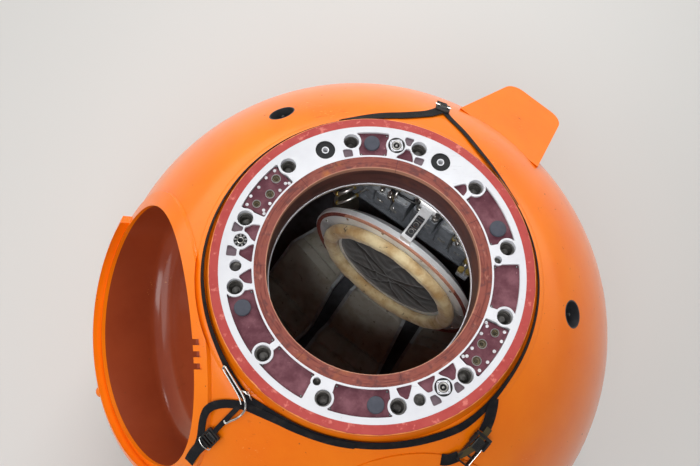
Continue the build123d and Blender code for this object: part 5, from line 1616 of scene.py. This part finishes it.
# %% Box covers
BOX_EDGE = 0.468
BOX_TOPS = (
    (0.395, 0.095, 0.100, 0.060, 1.530), (0.400, 0.165, 0.110, 0.070, 1.500),
    (0.400, -0.170, 0.110, 0.070, 1.500), (0.415, -0.245, 0.130, 0.060, 1.510),
    (0.410, -0.095, 0.110, 0.060, 1.550), (0.415, 0.000, 0.100, 0.100, 1.510),
    (0.425, 0.240, 0.150, 0.070, 1.510),
)
covers, box_screws = [], []
for towards, left, length, width, low in BOX_TOPS:
    reach = min(length - 0.012, 2 * (BOX_EDGE - towards))
    cover = stacked(oblong(reach, width - 0.012, 0.005), ((1, 0), (1, 0.0016), (0.97, 0.0024)))
    covers.append(placed(cover, [in_cabin(towards, left, low)]))
    for x, y in ((-1, -1), (-1, 1), (1, -1), (1, 1)):
        corner = (towards + x * (reach / 2 - 0.006), left + y * (width / 2 - 0.012), low + 0.002)
        box_screws.append(in_cabin(*corner, 70 * x + 50 * y))
add_piece("box_covers", joined(*covers), "panel_grey")
add_piece("box_screws", placed(slotted_screw(0.0030, 0.0018), box_screws), "silver_metal")
wedge = stacked(oblong(0.060, 0.030, 0.004), ((1, 0), (1, 0.026), (0.9, 0.032)))
add_piece("grey_wedge", placed(wedge, [in_cabin(0.372, 0.205, 1.513, 12)]), "panel_grey")
print(len(covers), "covers and", len(box_screws), "screws")

# %% [markdown]
# Screws hold each window's frame to the cone, and a clamp ring holds its glass.

# %% Window screws and clamp rings
CONE_TILT = radians(7.0)
CONE_FOOT_R = 1.1
CONE_SLOPE = 0.12281


def on_wall(azimuth, height):
    """Place on the cone's wall with its directions level, up the wall and out of it."""
    turn = radians(azimuth)
    out = np.array([cos(turn) * cos(CONE_TILT), sin(turn) * cos(CONE_TILT), sin(CONE_TILT)])
    level = np.array([-sin(turn), cos(turn), 0])
    foot = np.array([cos(turn), sin(turn), 0]) * (CONE_FOOT_R - height * CONE_SLOPE) + UP * height
    return foot, np.stack([level, np.cross(out, level), out], -1)


WINDOWS = (144.0, 324.0)
WINDOW_HEIGHT = 0.8
SCREW_RINGS = ((0.1375, 16, 0.0115), (0.1065, 12, 0.0100))
clamp_line = (
    (0.1005, 0.006), (0.1125, 0.006), (0.1125, 0.009), (0.1110, 0.0105), (0.1020, 0.0105), (0.1005, 0.009),
)
window_spots = [on_wall(azimuth, WINDOW_HEIGHT) for azimuth in WINDOWS]
window_screws = []
for spot in window_spots:
    for radius, count, proud in SCREW_RINGS:
        for k, screw_spot in enumerate(across_spot(spot, circle(radius, count), proud)):
            window_screws.append(turned(screw_spot, GOLDEN_ANGLE * k))
add_piece("window_screws", placed(slotted_screw(0.0045, 0.003), window_screws), "steel_hardware")
add_piece("window_clamps", placed(spun(clamp_line, 72), window_spots), "window_metal")
print(len(window_screws), "window screws")

# %% [markdown]
# The lid's arm has a framed recess on its back. A dark inset with two ringed bores and
# three short bars fills it, so that the frame stands out pale as on the real arm. Screws
# stand round the lid's rim, and thin lips run round its seal.

# %% Inset of the lid's arm, rim screws and seal lips
ARM_AXES = np.stack([TO_ITS_LEFT, np.cross(-LID_ALONG, TO_ITS_LEFT), -LID_ALONG], -1)
ARM_SPOT = [(LID_CENTRE - LID_ALONG * 0.395, ARM_AXES)]
ARM_BORES = (0.036, 0.066)
ARM_BARS = (0.050, 0.083, 0.095)
inset = stacked(oblong(0.0288, 0.0868, 0.0045) + [0, -0.060], ((1, -0.0059), (1, -0.0046), (0.98, -0.0044)))
add_piece("arm_inset", placed(inset, ARM_SPOT), "dark_metal", body=LID)
bore_line = ((0.0078, -0.0046), (0.0104, -0.0046), (0.0104, -0.0030), (0.0078, -0.0034))
arm_rings = [spun(bore_line, 28, (0, -along, 0)) for along in ARM_BORES]
for along in ARM_BARS:
    arm_rings.append(stacked(oblong(0.022, 0.003, 0.001) + [0, -along], ((1, -0.0046), (1, -0.0032))))
add_piece("arm_rings", placed(joined(*arm_rings), ARM_SPOT), "silver_metal", body=LID)

RIM_SCREW_R = 0.322
rim_spots = across_spot(LID_SPOT[0], circle(RIM_SCREW_R, 12, radians(15)))
rim_screws = [turned(spot, GOLDEN_ANGLE * k) for k, spot in enumerate(rim_spots)]
add_piece("lid_rim_screws", placed(slotted_screw(0.0055, 0.0032), rim_screws), "steel_hardware", body=LID)

SEAL_LIPS = (0.3395, 0.3450, 0.3505)
LIP_SECTION = np.array([(-0.0016, 0), (0.0016, 0), (0.0012, 0.0058), (-0.0012, 0.0058)])
seal_lips = [spun(LIP_SECTION + [radius, 0], 160) for radius in SEAL_LIPS]
add_piece("lid_seal_lips", placed(joined(*seal_lips), LID_SPOT), "brown_seal", body=LID)
print(len(rim_screws), "rim screws and", len(seal_lips), "seal lips")

# %% [markdown]
# A plain pale floor carries the capsule. Three large soft lamps stand round it, and a
# narrow one looks down through the hatch at the lid. The sky is pale all round and
# brighter on the far side, as under thin cloud.

# %% Floor and light
FLOOR_HALF = 40.0
floor_points = [(x * FLOOR_HALF, y * FLOOR_HALF, 0) for x, y in ((-1, -1), (1, -1), (1, 1), (-1, 1))]
floor = add_object("floor", new_mesh("floor", floor_points, [(0, 1, 2, 3)]))
floor_finish = Finish("floor", light(214, 214, 212), 0.7)
floor_finish.done()
floor.data.materials.append(floor_finish.material)

world = bpy.data.worlds.new("sky")
world.use_nodes = True
sky = world.node_tree
ray = add_node(sky, "SeparateXYZ", {0: add_node(sky, "TexCoord").outputs["Object"]}).outputs
height = calc(sky, "ABSOLUTE", ray["Z"])
far_side = between(sky, ray["Y"], -0.5, 0.7)
edge_colour = mix_colours(sky, far_side, light(150, 148, 146), light(255, 248, 226))
sky_colour = mix_colours(sky, between(sky, height, 0.04, 0.7), edge_colour, light(126, 128, 132))
sky.links.new(sky_colour, sky.nodes["Background"].inputs["Color"])
sky.links.new(mix_values(sky, far_side, 0.95, 2.0), sky.nodes["Background"].inputs["Strength"])
bpy.context.scene.world = world


def add_lamp(name, kind, place, aim, power, **settings):
    """Lamp that looks from its place towards a point."""
    lamp = bpy.data.lights.new(name, kind)
    lamp.energy = power
    for setting, value in settings.items():
        setattr(lamp, setting, value)
    holder = add_object(name, lamp)
    look = Vector(aim) - Vector(place)
    holder.rotation_euler = look.to_track_quat("-Z", "Y").to_euler()
    holder.location = place


add_lamp("back_lamp", "AREA", (0.8, 4.6, 5.0), (0, 0, 1.4), 210, size=3.0)
add_lamp("side_lamp", "AREA", (-3.5, -1.5, 4.5), (0, 0, 1.0), 60, size=3.0)
add_lamp("front_lamp", "AREA", (-0.7, -2.6, 6.2), (0, 0, 1.2), 112, size=2.6)
SPOT_SHAPE = {"spot_size": radians(14), "spot_blend": 0.55, "shadow_soft_size": 0.25}
add_lamp("hatch_lamp", "SPOT", (-0.45, -1.1, 4.8), (0.10, 0.14, 1.6), 230, **SPOT_SHAPE)
print(len(bpy.data.lights), "lamps")

# %% [markdown]
# Colours are shown as they are written, with no film look over them.

# %% Colour view
bpy.context.scene.view_settings.view_transform = "Standard"
